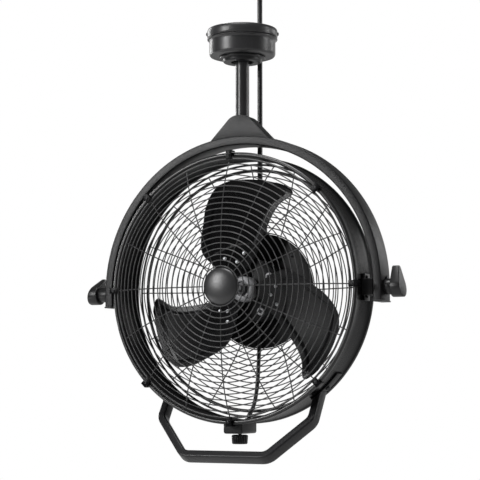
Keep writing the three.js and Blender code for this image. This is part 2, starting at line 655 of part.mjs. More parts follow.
function pivotBlock(side) {
  const face = YOKE_IN - BLOCK_CLEAR;
  const block = box(DRUM_R - 12, face, -BLOCK_HALF_Y, BLOCK_HALF_Y, -BLOCK_HALF_Z, BLOCK_HALF_Z);
  const feet = box(
    DRUM_R - 12, DRUM_R + BLOCK_FOOT_T, -BLOCK_FOOT_HALF_Y, BLOCK_FOOT_HALF_Y,
    -BLOCK_HALF_Z - BLOCK_FOOT_REACH, BLOCK_HALF_Z + BLOCK_FOOT_REACH,
  );
  const bore = rod("x", STUD_R + 0.6, YOKE_IN - STUD_REACH - 1, face + 1, 20);
  const barrel = rod("y", DRUM_R + SEAT, -BLOCK_HALF_Y - 1, BLOCK_HALF_Y + 1, 288);
  const body = cut(join(block, feet).translate([0, 0, -AXIS_DROP]), barrel, bore.translate([0, 0, -AXIS_DROP]));
  return side > 0 ? body : body.rotate([0, 0, 180]);
}

// The handle lies in a plane that leans forward, with its section square to that plane.
function handleBoltTool(side, radius) {
  const bolt = rod("z", radius, -DRUM_R - BRACKET_T - 20, -DRUM_R + 20, 10);
  return bolt.rotate([0, -side * (HANDLE_FOOT + 8), 0]).translate([0, BRACKET_Y, 0]);
}

const HANDLE_HALF = DRUM_R * Math.sin(HANDLE_FOOT * RAD); // to the middle of the legs
function handleBar() {
  const lean = HANDLE_LEAN * RAD;
  const corners = [
    [-HANDLE_HALF, 175], [-HANDLE_HALF, HANDLE_BEND_UP], [-HANDLE_BAR_HALF, 0],
    [HANDLE_BAR_HALF, 0], [HANDLE_HALF, HANDLE_BEND_UP], [HANDLE_HALF, 175],
  ].map(([x, s]) => new THREE.Vector2(x, s));
  const shapeAt = (offset) => {
    const moved = corners.map((p, i) => {
      const before = corners[Math.max(0, i - 1)];
      const after = corners[Math.min(corners.length - 1, i + 1)];
      const a = p.clone().sub(before).normalize();
      const b = after.clone().sub(p).normalize();
      const na = i === 0 ? new THREE.Vector2(b.y, -b.x) : new THREE.Vector2(a.y, -a.x);
      const nb = i === corners.length - 1 ? na.clone() : new THREE.Vector2(b.y, -b.x);
      const n = na.clone().add(nb).normalize();
      return p.clone().addScaledVector(n, offset / n.dot(nb));
    });
    return moved;
  };
  const rounded = (points, radius) => {
    const out = [points[0]];
    for (let i = 1; i < points.length - 1; i++) {
      const toBefore = points[i - 1].clone().sub(points[i]).normalize();
      const toAfter = points[i + 1].clone().sub(points[i]).normalize();
      const angle = Math.acos(toBefore.dot(toAfter));
      const reach = radius / Math.tan(angle / 2);
      const start = points[i].clone().addScaledVector(toBefore, reach);
      const end = points[i].clone().addScaledVector(toAfter, reach);
      const curve = new THREE.QuadraticBezierCurve(start, points[i], end);
      out.push(...curve.getPoints(5));
    }
    out.push(points[points.length - 1]);
    return out;
  };
  const outer = rounded(shapeAt(HANDLE_W / 2), HANDLE_FILLET + HANDLE_W / 2);
  const inner = rounded(shapeAt(-HANDLE_W / 2), HANDLE_FILLET - HANDLE_W / 2);
  const g = new THREE.ExtrudeGeometry(new THREE.Shape([...outer, ...inner.reverse()]), {
    depth: HANDLE_D, bevelEnabled: false,
  });
  const bar = solid(g.translate(0, 0, -HANDLE_D / 2).rotateX(Math.PI / 2 - lean));
  const placed = bar.translate([0, HANDLE_BAR_Y, -DRUM_R - HANDLE_DROP]);
  const clear = rod("y", DRUM_R + BRACKET_T + 2 * SEAT, -90, 90, 144);
  return cut(placed, clear);
}

function handleBracket(side) {
  const band = ring(
    "y", DRUM_R + SEAT, DRUM_R + SEAT + BRACKET_T, BRACKET_Y - BRACKET_W / 2, BRACKET_Y + BRACKET_W / 2, 144,
  );
  const start = (HANDLE_FOOT - 4) * RAD;
  const end = (HANDLE_FOOT + 12) * RAD;
  const reach = 2 * DRUM_R;
  const wedge = outline([
    [0, 0], [reach * Math.sin(start), -reach * Math.cos(start)], [reach * Math.sin(end), -reach * Math.cos(end)],
  ]);
  const piece = slab(wedge, -100, 100).intersect(band);
  const bracket = cut(piece, handleBoltTool(1, 3.3));
  return side > 0 ? bracket : bracket.mirror([1, 0, 0]);
}

function switchBox() {
  const low = BOX_TOP - BOX_HEIGHT;
  const profile = new THREE.Shape();
  const r = 5;
  profile.moveTo(-BOX_HALF_X, -DRUM_R + 6).lineTo(-BOX_HALF_X + 0.8, low + r);
  profile.quadraticCurveTo(-BOX_HALF_X + 1, low, -BOX_HALF_X + r + 1, low).lineTo(BOX_HALF_X - r - 1, low);
  profile.quadraticCurveTo(BOX_HALF_X - 1, low, BOX_HALF_X - 0.8, low + r).lineTo(BOX_HALF_X, -DRUM_R + 6);
  profile.closePath();
  const body = slab(profile, BOX_FRONT_Y, BOX_BACK_Y, 4);
  const room = box(
    BOX_WALL - BOX_HALF_X + 1, BOX_HALF_X - BOX_WALL - 1,
    BOX_FRONT_Y + BOX_WALL, BOX_BACK_Y - BOX_WALL, low + BOX_WALL, -DRUM_R + 20,
  );
  const barrel = rod("y", DRUM_R + SEAT, -100, 100, 288);
  const stem = rod("z", STEM_R + 1, low - 1, low + BOX_WALL + 1, 14).translate([0, KNOB_Y, 0]);
  return cut(body, room, barrel, stem);
}

const KNOB_Y = (BOX_FRONT_Y + BOX_BACK_Y) / 2 - KNOB_FORWARD;
function rotarySwitch() {
  const low = BOX_TOP - BOX_HEIGHT + BOX_WALL + SEAT;
  const body = box(-12, 12, KNOB_Y - 12, KNOB_Y + 12, low, low + 13);
  return cut(body, rod("z", STEM_R + 0.6, low - 1, low + 9, 14).translate([0, KNOB_Y, 0]));
}

function speedKnob() {
  const top = BOX_TOP - BOX_HEIGHT - 2.2;
  const points = [];
  for (let i = 0; i < SPEED_KNOB_FLUTES; i++) {
    for (const [share, depth] of [[0.12, 1.1], [0.35, 0], [0.77, 0], [1, 1.1]]) {
      const angle = (360 * (i + share)) / SPEED_KNOB_FLUTES;
      points.push(polar(SPEED_KNOB_R - depth, angle));
    }
  }
  const g = new THREE.ExtrudeGeometry(outline(points), { depth: SPEED_KNOB_H, bevelEnabled: false });
  const grip = solid(g.translate(0, 0, top - SPEED_KNOB_H));
  const stem = rod("z", STEM_R, top - 3, BOX_TOP - BOX_HEIGHT + BOX_WALL + 8, 12);
  return join(grip, stem).translate([0, KNOB_Y, 0]);
}

// ---- rotor: shaft, hub with its spider, and three swept blades ----
const ROTOR_Y = 14; // where the arms leave the hub
const RIVET_R = 62; // where the blades are riveted to the spider

const rotorShaft = () => rod("y", SHAFT_R, HUB_FRONT_Y - 6, MOTOR_FRONT_Y + 30, 16);
const rotorCore = () =>
  ring("y", SHAFT_R + SEAT, MOTOR_R - 17, MOTOR_FRONT_Y + 4, MOTOR_FRONT_Y + 29, 24);

// Outlines about the shaft: radius, then the degrees of the trailing and the leading edge from the
// arm's middle. The leading edge lies further back. Past the spider a blade's radii go by its tip.
const BLADE_EDGES = [
  [40, 26, -26], [RIVET_R, 31, -32], [SPIDER_R, 30.5, -34.5],
  ...[[0.5, 27.7, -36.2], [0.685, 13, -38.4], [0.82, 5.6, -41.2], [0.927, -1.1, -46], [0.977, -6, -46], [1, -12, -40]]
    .map(([share, trail, lead]) => [share * BLADE_TIP_R, trail, lead]),
];
const ARM_EDGES = [
  [HUB_R - 5, 36, -36], [40, 24, -24], [RIVET_R, 20, -20], [SPIDER_R - 6, 18, -18], [SPIDER_R, 12, -12],
];

// The rotor's twisted surface: how far back a point lies, by its radius and its degrees from the arm.
function twistY(r, degrees) {
  const reach = Math.min(1, Math.max(0, (r - RIVET_R) / (BLADE_TIP_R - RIVET_R)));
  const pitch = BLADE_PITCH.root + (BLADE_PITCH.tip - BLADE_PITCH.root) * reach;
  const middle = -BLADE_SWEEP * reach;
  return ROTOR_Y - r * Math.sin((degrees - middle) * RAD) * Math.tan(pitch * RAD);
}

// A sheet on the twisted surface between two edges, from `front` to `back` of it along Y.
function twistedSheet(edges, front, back, columns) {
  const position = [];
  for (const offset of [front, back]) {
    for (const [r, trail, lead] of edges) {
      for (let j = 0; j <= columns; j++) {
        const degrees = trail + ((lead - trail) * j) / columns;
        const [x, z] = polar(r, degrees);
        position.push(x, twistY(r, degrees) + offset, z);
      }
    }
  }
  const across = columns + 1;
  const layer = edges.length * across;
  const index = [];
  const quad = (a, b, c, d) => index.push(a, b, c, a, c, d);
  for (let i = 0; i < edges.length - 1; i++) {
    for (let j = 0; j < columns; j++) {
      const a = i * across + j;
      quad(a, a + 1, a + across + 1, a + across);
      quad(layer + a, layer + a + across, layer + a + across + 1, layer + a + 1);
    }
    for (const [a, b] of [[i * across, (i + 1) * across], [(i + 2) * across - 1, (i + 1) * across - 1]]) {
      quad(a, b, layer + b, layer + a);
    }
  }
  for (let j = 0; j < columns; j++) {
    const last = (edges.length - 1) * across + j;
    quad(j + 1, j, layer + j, layer + j + 1);
    quad(last, last + 1, layer + last + 1, layer + last);
  }
  const g = new THREE.BufferGeometry();
  g.setAttribute("position", new THREE.Float32BufferAttribute(position, 3));
  return solid(g.setIndex(index));
}

const armAngle = (k) => FIRST_BLADE + (360 * k) / BLADE_COUNT;

function bladeSpider() {
  const hub = rod("y", HUB_R, HUB_FRONT_Y, HUB_FRONT_Y + HUB_T, 24);
  const arms = [];
  for (let k = 0; k < BLADE_COUNT; k++) {
    arms.push(twistedSheet(ARM_EDGES, -1.5, 1.5, 4).rotate([0, -armAngle(k), 0]));
  }
  return cut(join(hub, ...arms), rod("y", SHAFT_R + SEAT, HUB_FRONT_Y - 1, HUB_FRONT_Y + HUB_T + 1, 16));
}

function blade(k) {
  const back = -1.5 - SEAT;
  return twistedSheet(BLADE_EDGES, back - BLADE_T, back, 4).rotate([0, -armAngle(k), 0]);
}

addMesh(head, "drum", drum(), BLACK_COAT);
addMesh(head, "front_guard", frontGuard(), BLACK_WIRE);
addMesh(head, "rear_guard", rearGuard(), BLACK_WIRE);
addMesh(head, "guard_badge", badge(), SATIN);
for (let i = 0; i < CLIPS; i++) addMesh(head, `guard_clip_${i + 1}`, guardClip(i), BLACK_COAT);
addMesh(head, "motor_plate", motorPlate(), BLACK_COAT);
addMesh(head, "motor_housing", motorHousing(), BLACK_COAT);
addMesh(head, "motor_end_bell", motorEndBell(), BLACK_COAT);
addMesh(head, "motor_cover", motorCover(), BLACK_PLASTIC);
addMesh(head, "cord_gland", cordGland(), BLACK_PLASTIC);
addMesh(head, "cord_tail", cordTail(), CORD_JACKET);
addMesh(head, "motor_lead", motorLead(), CORD_JACKET);
addMesh(head, "lead_grommet", leadGrommet(), BLACK_PLASTIC);
for (const [name, side] of [["left", -1], ["right", 1]]) {
  addMesh(head, `pivot_block_${name}`, pivotBlock(side), BLACK_PLASTIC);
  addMesh(head, `handle_bracket_${name}`, handleBracket(side), BLACK_COAT);
}
addMesh(head, "handle", handleBar(), BLACK_COAT);
addMesh(head, "switch_box", switchBox(), BLACK_PLASTIC);
addMesh(head, "rotary_switch", rotarySwitch(), NYLON);
addMesh(head, "speed_knob", speedKnob(), BLACK_PLASTIC);

const rotor = new THREE.Group();
head.add(rotor);
addMesh(rotor, "rotor_shaft", rotorShaft(), STEEL);
addMesh(rotor, "rotor_core", rotorCore(), STEEL);
addMesh(rotor, "blade_spider", bladeSpider(), BLADE_COAT);
for (let k = 0; k < BLADE_COUNT; k++) addMesh(rotor, `blade_${k + 1}`, blade(k), BLADE_COAT);

export default fan;
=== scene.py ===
# Orbital ceiling fan, put together as it hangs: the ceiling mount, the downrod and its yoke, the
# clamp levers, then the drum head and what turns in it. Metres, +Z up, it blows towards -Y.
import math

import bmesh
import bpy
from mathutils import Matrix, Vector


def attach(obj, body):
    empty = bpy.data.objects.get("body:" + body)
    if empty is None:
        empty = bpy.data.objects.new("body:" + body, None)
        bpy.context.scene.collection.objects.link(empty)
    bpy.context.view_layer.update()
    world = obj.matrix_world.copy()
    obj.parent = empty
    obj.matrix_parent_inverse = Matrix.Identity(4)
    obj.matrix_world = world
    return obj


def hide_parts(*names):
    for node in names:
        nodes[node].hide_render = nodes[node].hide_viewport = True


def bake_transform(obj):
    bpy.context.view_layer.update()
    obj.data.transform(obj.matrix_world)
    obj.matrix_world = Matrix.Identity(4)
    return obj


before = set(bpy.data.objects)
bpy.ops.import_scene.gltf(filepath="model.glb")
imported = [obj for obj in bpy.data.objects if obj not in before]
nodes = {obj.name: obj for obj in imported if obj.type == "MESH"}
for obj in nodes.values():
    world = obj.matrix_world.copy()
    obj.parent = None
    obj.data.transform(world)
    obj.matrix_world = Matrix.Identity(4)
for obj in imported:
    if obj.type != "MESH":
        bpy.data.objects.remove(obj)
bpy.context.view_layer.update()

# ---- camera ----
# It stands 3 m away, 26 degrees to the right of the fan's front, and looks up a little through a
# long lens.
bpy.ops.object.select_all(action="DESELECT")
bpy.ops.object.camera_add(
    location=(1.3397, -2.7119, -0.7049), rotation=(math.radians(90 + 5.38), 0, math.radians(26.38))
)
camera = bpy.context.object
camera.data.sensor_width = 36
camera.data.lens = 116.25
bpy.context.scene.camera = camera
bpy.context.scene.view_settings.view_transform = "Standard"


# ---- studio ----
# White paper behind the fan, which shiny things reflect too, a dimmer room round it, and six soft
# boxes. To the camera it is pure white all round. A pale floor under the fan melts into the white.
class Value:
    """A number, colour or vector on its way through a material. Sums on it add their own nodes."""

    def __init__(self, tree, socket):
        self.tree, self.socket = tree, socket

    def node(self, kind, inputs, output=0, **settings):
        """Any node: its settings first, then values or links for its sockets."""
        made = self.tree.nodes.new("ShaderNode" + kind)
        for key, value in settings.items():
            setattr(made, key, value)
        for key, value in inputs.items():
            if isinstance(value, Value):
                self.tree.links.new(value.socket, made.inputs[key])
            else:
                made.inputs[key].default_value = value
        return Value(self.tree, made.outputs[output])

    def maths(self, operation, a, b):
        return self.node("Math", {0: a, 1: b}, operation=operation)

    def __add__(self, other):
        return self.maths("ADD", self, other)

    def __radd__(self, other):
        return self.maths("ADD", other, self)

    def __mul__(self, other):
        return self.maths("MULTIPLY", self, other)

    def __rmul__(self, other):
        return self.maths("MULTIPLY", other, self)

    def between(self, low, high, least, most):
        """From least to most, while this value goes from low to high."""
        return self.node("MapRange", {
            "Value": self, "From Min": low, "From Max": high, "To Min": least, "To Max": most,
        })


def seen_white(tree, behind):
    """1 for a ray straight from the camera or through something clear. For one off something shiny
    it is `behind`, which falls towards the dimmer side of the room."""
    rays = Value(tree, None)
    camera_ray = rays.node("LightPath", {}, "Is Camera Ray")
    glossy_ray = rays.node("LightPath", {}, "Is Glossy Ray")
    clear_ray = rays.node("LightPath", {}, "Is Transmission Ray")
    return rays.maths("MAXIMUM", rays.maths("MAXIMUM", camera_ray, glossy_ray * behind), clear_ray)


ROOM_DIM = 0.12  # the least that the room gives off, where it isn't white paper
world = bpy.data.worlds.new("paper")
bpy.context.scene.world = world
world.use_nodes = True
paper = world.node_tree.nodes["Background"]
paper.inputs["Color"].default_value = (1, 1, 1, 1)
ray = Value(world.node_tree, None).node("TexCoord", {}, "Generated")
behind = ray.node("SeparateXYZ", {0: ray}, "Y").between(0.93, 0.985, 0.10, 1.0)
room = ray.maths("MAXIMUM", seen_white(world.node_tree, behind), ROOM_DIM)
world.node_tree.links.new(room.socket, paper.inputs["Strength"])

LAMPS = [
    # name, where, what it is aimed at, width, height, watts
    ("key", (-2.0, -3.2, 0.5), (0, 0, -0.45), 0.9, 1.5, 76),
    ("left rim", (-3.0, 1.4, 0.2), (0, 0, -0.5), 0.5, 2.2, 40),
    ("right rim", (3.1, 1.5, 0.1), (0, 0, -0.5), 0.5, 2.4, 28),
    ("right back", (1.8, 3.1, 0.6), (0.3, 0, -0.5), 0.6, 1.0, 9),
    ("left low", (-1.9, -1.3, -1.5), (0.15, 0, -0.5), 0.9, 0.6, 4),
    ("top", (0.1, -0.9, 2.1), (0, 0, -0.4), 1.2, 1.0, 56),
]
for lamp_name, where, aim, width, height, watts in LAMPS:
    bpy.ops.object.light_add(type="AREA", location=where)
    lamp = bpy.context.object
    lamp.name = lamp_name
    lamp.data.shape = "RECTANGLE"
    lamp.data.size, lamp.data.size_y = width, height
    lamp.data.energy = watts
    lamp.rotation_euler = (Vector(aim) - Vector(where)).to_track_quat("-Z", "Y").to_euler()

bpy.ops.mesh.primitive_circle_add(vertices=96, radius=9, fill_type="NGON", location=(0, 0, -1.7))
floor = bpy.context.object
floor.name = "floor"
floor_paint = bpy.data.materials.new("floor_paint")
floor_paint.use_nodes = True
tree = floor_paint.node_tree
paint = tree.nodes["Principled BSDF"]
paint.inputs["Base Color"].default_value = (0.86, 0.86, 0.86, 1)
paint.inputs["Roughness"].default_value = 0.9
spot = Value(tree, None).node("TexCoord", {}, "Object")
fade = spot.node("VectorMath", {0: spot}, "Value", operation="LENGTH").between(0.6, 3.2, 0.72, 1.0)
behind = spot.node("SeparateXYZ", {0: spot}, "Y").between(-0.5, 4.0, 0.06, 0.4)
glow = tree.nodes.new("ShaderNodeEmission")
both = tree.nodes.new("ShaderNodeMixShader")
tree.links.new((fade * seen_white(tree, behind)).socket, both.inputs[0])
tree.links.new(paint.outputs[0], both.inputs[1])
tree.links.new(glow.outputs[0], both.inputs[2])
tree.links.new(both.outputs[0], tree.nodes["Material Output"].inputs["Surface"])
floor.data.materials.append(floor_paint)


# ---- supply cord ----
# A 10 mm round rubber cord. It hangs from a grip in the ceiling behind the canopy, and goes into
# the gland on top of the motor cover. It is in two lengths, because it crosses two joints.
class Finish:
    """A material of one finish. Its place is the point on the piece that a pattern reads."""

    def __init__(self, name, colour, roughness, metallic=0.0):
        self.material = bpy.data.materials.new(name)
        self.material.use_nodes = True
        self.tree = self.material.node_tree
        self.shader = self.tree.nodes["Principled BSDF"]
        self.shader.inputs["Base Color"].default_value = (*colour, 1)
        self.shader.inputs["Roughness"].default_value = roughness
        self.shader.inputs["Metallic"].default_value = metallic
        self.place = Value(self.tree, None).node("TexCoord", {}, "Object")

    def noise(self, scale, detail=2.0, stretch=None):
        """Cloudy pattern, features about 1 / scale metres across, from 0 to 1 round a half."""
        place = self.place
        if stretch:
            place = place.node("VectorMath", {0: place, 1: stretch}, operation="MULTIPLY")
        return place.node("TexNoise", {"Vector": place, "Scale": scale, "Detail": detail}, "Fac")

    def set(self, socket, value):
        self.tree.links.new(value.socket, self.shader.inputs[socket])

    def shade(self, amount, dark, light):
        """The base colour goes from dark to light with amount."""
        mixed = amount.node("Mix", {0: amount, 6: (*dark, 1), 7: (*light, 1)}, 2, data_type="RGBA")
        self.set("Base Color", mixed)

    def bump(self, height, depth, strength):
        """Relief of that depth in metres."""
        inputs = {"Height": height, "Distance": depth, "Strength": strength}
        self.set("Normal", height.node("Bump", inputs, "Normal"))


def dress(piece, *finishes):
    piece.data.materials.clear()
    for finish in finishes:
        piece.data.materials.append(finish.material)


def only(piece):
    """Nothing else stays selected."""
    bpy.ops.object.select_all(action="DESELECT")
    piece.select_set(True)
    bpy.context.view_layer.objects.active = piece


def smoothed(piece, angle=38):
    only(piece)
    bpy.ops.object.shade_smooth_by_angle(angle=math.radians(angle))
    return piece


def tube(name, points, radius, rounds):
    """A round line through the points, as a mesh with flat closed ends."""
    line = bpy.data.curves.new(name, "CURVE")
    line.dimensions = "3D"
    line.bevel_depth = radius
    line.bevel_resolution = rounds
    line.use_fill_caps = True
    spline = line.splines.new("POLY")
    spline.points.add(len(points) - 1)
    for point, place in zip(spline.points, points):
        point.co = (*place, 1)
    piece = bpy.data.objects.new(name, line)
    bpy.context.scene.collection.objects.link(piece)
    only(piece)
    bpy.ops.object.convert(target="MESH")
    return smoothed(bpy.context.object, 40)


def smooth_line(points, steps):
    """Points along a smooth curve through the given ones."""
    ends = [tuple(2 * a - b for a, b in zip(points[0], points[1]))]
    tail = [tuple(2 * a - b for a, b in zip(points[-1], points[-2]))]
    full = ends + list(points) + tail
    made = []
    for p, q, r, s in zip(full, full[1:], full[2:], full[3:]):
        for i in range(steps):
            t = i / steps
            made.append(tuple(
                0.5 * (
                    2 * b + (c - a) * t + (2 * a - 5 * b + 4 * c - d) * t * t
                    + (3 * b - a - 3 * c + d) * t ** 3
                )
                for a, b, c, d in zip(p, q, r, s)
            ))
    return made + [tuple(points[-1])]


HUB_Z = -0.516  # the drum's centre
CORD_R, CORD_Y, CORD_TOP = 0.0052, 0.080, 0.0857
CORD_JOIN = (0, CORD_Y, HUB_Z + 0.258)  # where the two lengths meet
DROP_STEPS = 24
drop_line = [
    (0, CORD_Y, CORD_JOIN[2] + (CORD_TOP - CORD_JOIN[2]) * i / DROP_STEPS)
    for i in range(DROP_STEPS + 1)
]
tail_turns = [
    (0.080, 0.258), (0.080, 0.235), (0.0805, 0.212), (0.084, 0.188), (0.092, 0.162),
    (0.099, 0.138), (0.1033, 0.114), (0.104, 0.092), (0.104, 0.0753),
]
tail_line = smooth_line([(0, y, HUB_Z + z) for y, z in tail_turns], 4)


rubber = Finish("cord_rubber", (0.012, 0.012, 0.013), 0.32)
rubber.set("Roughness", 0.26 + rubber.noise(160) * 0.16)
rubber.bump(rubber.noise(900), 0.0001, 0.5)

cord_drop = tube("cord_drop_run", drop_line, CORD_R, 6)
cord_tail = tube("cord_tail_run", tail_line, CORD_R, 6)
for piece, node, far_body, start, end in (
    (cord_drop, "cord_drop", "ceiling_mount", (0, 0.08, -0.20), (0, 0.08, 0.06)),
    (cord_tail, "cord_tail", "head", (0, 0.08, -0.27), (0, 0.10, -0.416)),
):
    dress(piece, rubber)
    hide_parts(node)
    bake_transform(piece)

# ---- canopy rim and cup ----
# Two pressed steel shells, powder coated black, with a dark seam between them. Two pan-head screws
# hold the rim to the mounting plate's lip.
def turned(name, profile, axis="Z", at=(0, 0, 0), sides=96, ring=True):
    """A circle drawn out through the profile's (radius, height) points. The profile of a ring is
    closed on itself, and any other gets a face at each end. The axis goes along X, Y or Z."""
    bpy.ops.object.select_all(action="DESELECT")
    (r, h), *others = profile
    bpy.ops.mesh.primitive_circle_add(vertices=sides, radius=r)
    piece = bpy.context.object
    piece.name = piece.data.name = name
    bpy.ops.object.mode_set(mode="EDIT")
    bpy.ops.mesh.select_mode(type="EDGE")
    bpy.ops.mesh.select_all(action="SELECT")
    bpy.ops.transform.translate(value=(0, 0, h))
    for next_r, next_h in others:
        bpy.ops.mesh.extrude_edges_move(TRANSFORM_OT_translate={"value": (0, 0, next_h - h)})
        bpy.ops.transform.resize(value=(next_r / r, next_r / r, 1), center_override=(0, 0, next_h))
        r, h = next_r, next_h
    bpy.ops.mesh.select_all(action="DESELECT")
    bpy.ops.mesh.select_non_manifold()
    if ring:
        bpy.ops.mesh.bridge_edge_loops()
    else:
        bpy.ops.mesh.fill_holes(sides=0)
    bpy.ops.mesh.select_all(action="SELECT")
    bpy.ops.mesh.normals_make_consistent(inside=False)
    bpy.ops.object.mode_set(mode="OBJECT")
    piece.rotation_euler = {"X": (0, math.pi / 2, 0), "Y": (-math.pi / 2, 0, 0), "Z": (0, 0, 0)}[axis]
    piece.location = at
    return settled(piece)


def settled(piece):
    """The piece's turn, size and place go into its mesh."""
    only(piece)
    bpy.ops.object.transform_apply(location=True, rotation=True, scale=True)
    return piece


def softened(piece, width, segments=2, angle=32, smooth=38):
    """Its sharp edges are rounded off, and its curves are shaded smooth."""
    edge = piece.modifiers.new("edge", "BEVEL")
    edge.width, edge.segments, edge.limit_method = width, segments, "ANGLE"
    edge.angle_limit = math.radians(angle)
    return smoothed(applied(piece), smooth)


def applied(piece):
    only(piece)
    for modifier in list(piece.modifiers):
        bpy.ops.object.modifier_apply(modifier=modifier.name)
    return piece


def cut(piece, *tools, operation="DIFFERENCE"):
    """The tools' shapes are taken out of the piece, or added to it when the operation is UNION."""
    for tool in tools:
        step = piece.modifiers.new("cut", "BOOLEAN")
        step.object, step.operation, step.solver = tool, operation, "EXACT"
        applied(piece)
        bpy.data.objects.remove(tool)
    return piece


def joined(name, *parts):
    """Separate bodies as one piece, each with its own finish."""
    bpy.ops.object.select_all(action="DESELECT")
    for part in parts:
        part.select_set(True)
    bpy.context.view_layer.objects.active = parts[0]
    bpy.ops.object.join()
    parts[0].name = parts[0].data.name = name
    return parts[0]


def copied(piece, matrix, name="copy"):
    twin = bpy.data.objects.new(name, piece.data.copy())
    bpy.context.scene.collection.objects.link(twin)
    twin.data.transform(matrix)
    return twin


def block(name, low, high):
    """A cuboid between two corners."""
    bpy.ops.object.select_all(action="DESELECT")
    bpy.ops.mesh.primitive_cube_add(size=1, location=[(a + b) / 2 for a, b in zip(low, high)])
    piece = bpy.context.object
    piece.name = piece.data.name = name
    piece.scale = [b - a for a, b in zip(low, high)]
    return settled(piece)


def powder_coat(name, shade, rough, pebble=0.00012, sheen=0.3):
    """Baked powder paint: near black with a fine pebble that breaks up the light."""
    coat = Finish(name, shade, rough)
    coat.shader.inputs["Specular IOR Level"].default_value = sheen
    fine = coat.noise(1500, 2)
    broad = coat.noise(14, 3)
    coat.shade(fine * 0.7 + broad * 0.3, [0.5 * c for c in shade], [1.7 * c for c in shade])
    coat.set("Roughness", rough - 0.12 + fine * 0.16 + broad * 0.08)
    coat.bump(fine, pebble, 0.6)
    return coat


canopy_coat = powder_coat("canopy_powder_coat", (0.022, 0.022, 0.023), 0.34, sheen=0.6)
zinc = Finish("zinc_plate", (0.62, 0.63, 0.65), 0.3, 1.0)
zinc.set("Roughness", 0.24 + zinc.noise(500) * 0.2)
black_oxide = Finish("black_oxide", (0.045, 0.045, 0.047), 0.34, 0.7)
black_oxide.set("Roughness", 0.28 + black_oxide.noise(600) * 0.2)

screw_master = turned("screw_master", [
    (1, 0), (1, 0.2), (0.93, 0.42), (0.7, 0.62), (0.42, 0.72), (0.15, 0.75),
], sides=24, ring=False)
cut(
    screw_master,
    block("slot", (-0.55, -0.1, 0.45), (0.55, 0.1, 1)),
    block("slot", (-0.1, -0.55, 0.45), (0.1, 0.55, 1)),
)
smoothed(screw_master)
dress(screw_master, zinc)


def screw_head(at, facing, radius, turn=0.3, finish=zinc):
    """A cross-head screw seen from outside, on a surface that faces that way."""
    spin = Matrix.Rotation(turn, 4, "Z")
    point = Vector(facing).to_track_quat("Z", "Y").to_matrix().to_4x4()
    screw = copied(screw_master, Matrix.Translation(at) @ point @ Matrix.Scale(radius, 4) @ spin)
    dress(screw, finish)
    return screw


def around(degrees, radius=1.0):
    """How far across and up from a circle's centre a point on it lies."""
    return radius * math.cos(math.radians(degrees)), radius * math.sin(math.radians(degrees))


canopy_rim = turned("canopy_rim_shell", [
    (0.0639, -0.001), (0.0668, -0.001), (0.0686, -0.0024), (0.0696, -0.0052), (0.0698, -0.0085),
    (0.0698, -0.0150), (0.0694, -0.0175), (0.0684, -0.0190), (0.0639, -0.0190),
])
softened(canopy_rim, 0.0005)
dress(canopy_rim, canopy_coat)
rim_screws = []
for turn in (25, 205):
    out = Vector((*around(turn), 0))
    on_rim = out * 0.0696 + Vector((0, 0, -0.010))
    rim_screws.append(screw_head(on_rim, out, 0.0036, finish=black_oxide))
joined("canopy_rim_shell", canopy_rim, *rim_screws)
canopy_cup = turned("canopy_cup_shell", [
    (0.0639, -0.0203), (0.0690, -0.0203), (0.0697, -0.0210), (0.0694, -0.0222), (0.0668, -0.0238),
    (0.0657, -0.0256), (0.0655, -0.0280), (0.0655, -0.0500), (0.0649, -0.0530), (0.0632, -0.0550),
    (0.0600, -0.0560), (0.0455, -0.0563), (0.0264, -0.0563), (0.0264, -0.0547), (0.0605, -0.0540),
    (0.0639, -0.0500),
])
smoothed(canopy_cup)
dress(canopy_cup, canopy_coat)
for piece, node in ((canopy_rim, "canopy_rim"), (canopy_cup, "canopy_cup")):
    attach(piece, "ceiling_mount")
    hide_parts(node)

# ---- canopy collar ----
# A moulded plastic ring in two steps under the cup. It hides the hole that the downrod turns in.
collar = turned("canopy_collar_ring", [
    (0.0224, -0.0493), (0.0260, -0.0493), (0.0260, -0.0566), (0.0452, -0.0566), (0.0455, -0.0572),
    (0.0455, -0.0590), (0.0448, -0.0604), (0.0436, -0.0611), (0.0386, -0.0611), (0.0383, -0.0616),
    (0.0383, -0.0644), (0.0376, -0.0664), (0.0360, -0.0676), (0.0240, -0.0676), (0.0224, -0.0668),
])
softened(collar, 0.0004)
moulded = Finish("moulded_black_plastic", (0.008, 0.008, 0.0085), 0.36)
moulded.shader.inputs["Specular IOR Level"].default_value = 0.4
moulded.set("Roughness", 0.28 + moulded.noise(700, 2) * 0.14)
moulded.bump(moulded.noise(1800), 0.00005, 0.5)
dress(collar, moulded)
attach(collar, "ceiling_mount")
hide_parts("canopy_collar")

# ---- ceiling grip of the cord ----
# A screwed plastic gland: a plate on the ceiling with a domed nut that clamps the cord.
grip = turned("ceiling_grip_gland", [
    (0.0055, 0.086), (0.0085, 0.086), (0.0098, 0.0876), (0.0120, 0.0930), (0.0126, 0.0952),
    (0.0126, 0.0968), (0.0205, 0.0968), (0.0220, 0.0984), (0.0220, 0.1100), (0.0055, 0.1100),
], at=(0, CORD_Y, 0), sides=64)
softened(grip, 0.0004)
dress(grip, moulded)
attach(grip, "ceiling_mount")
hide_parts("cord_ceiling_grip")

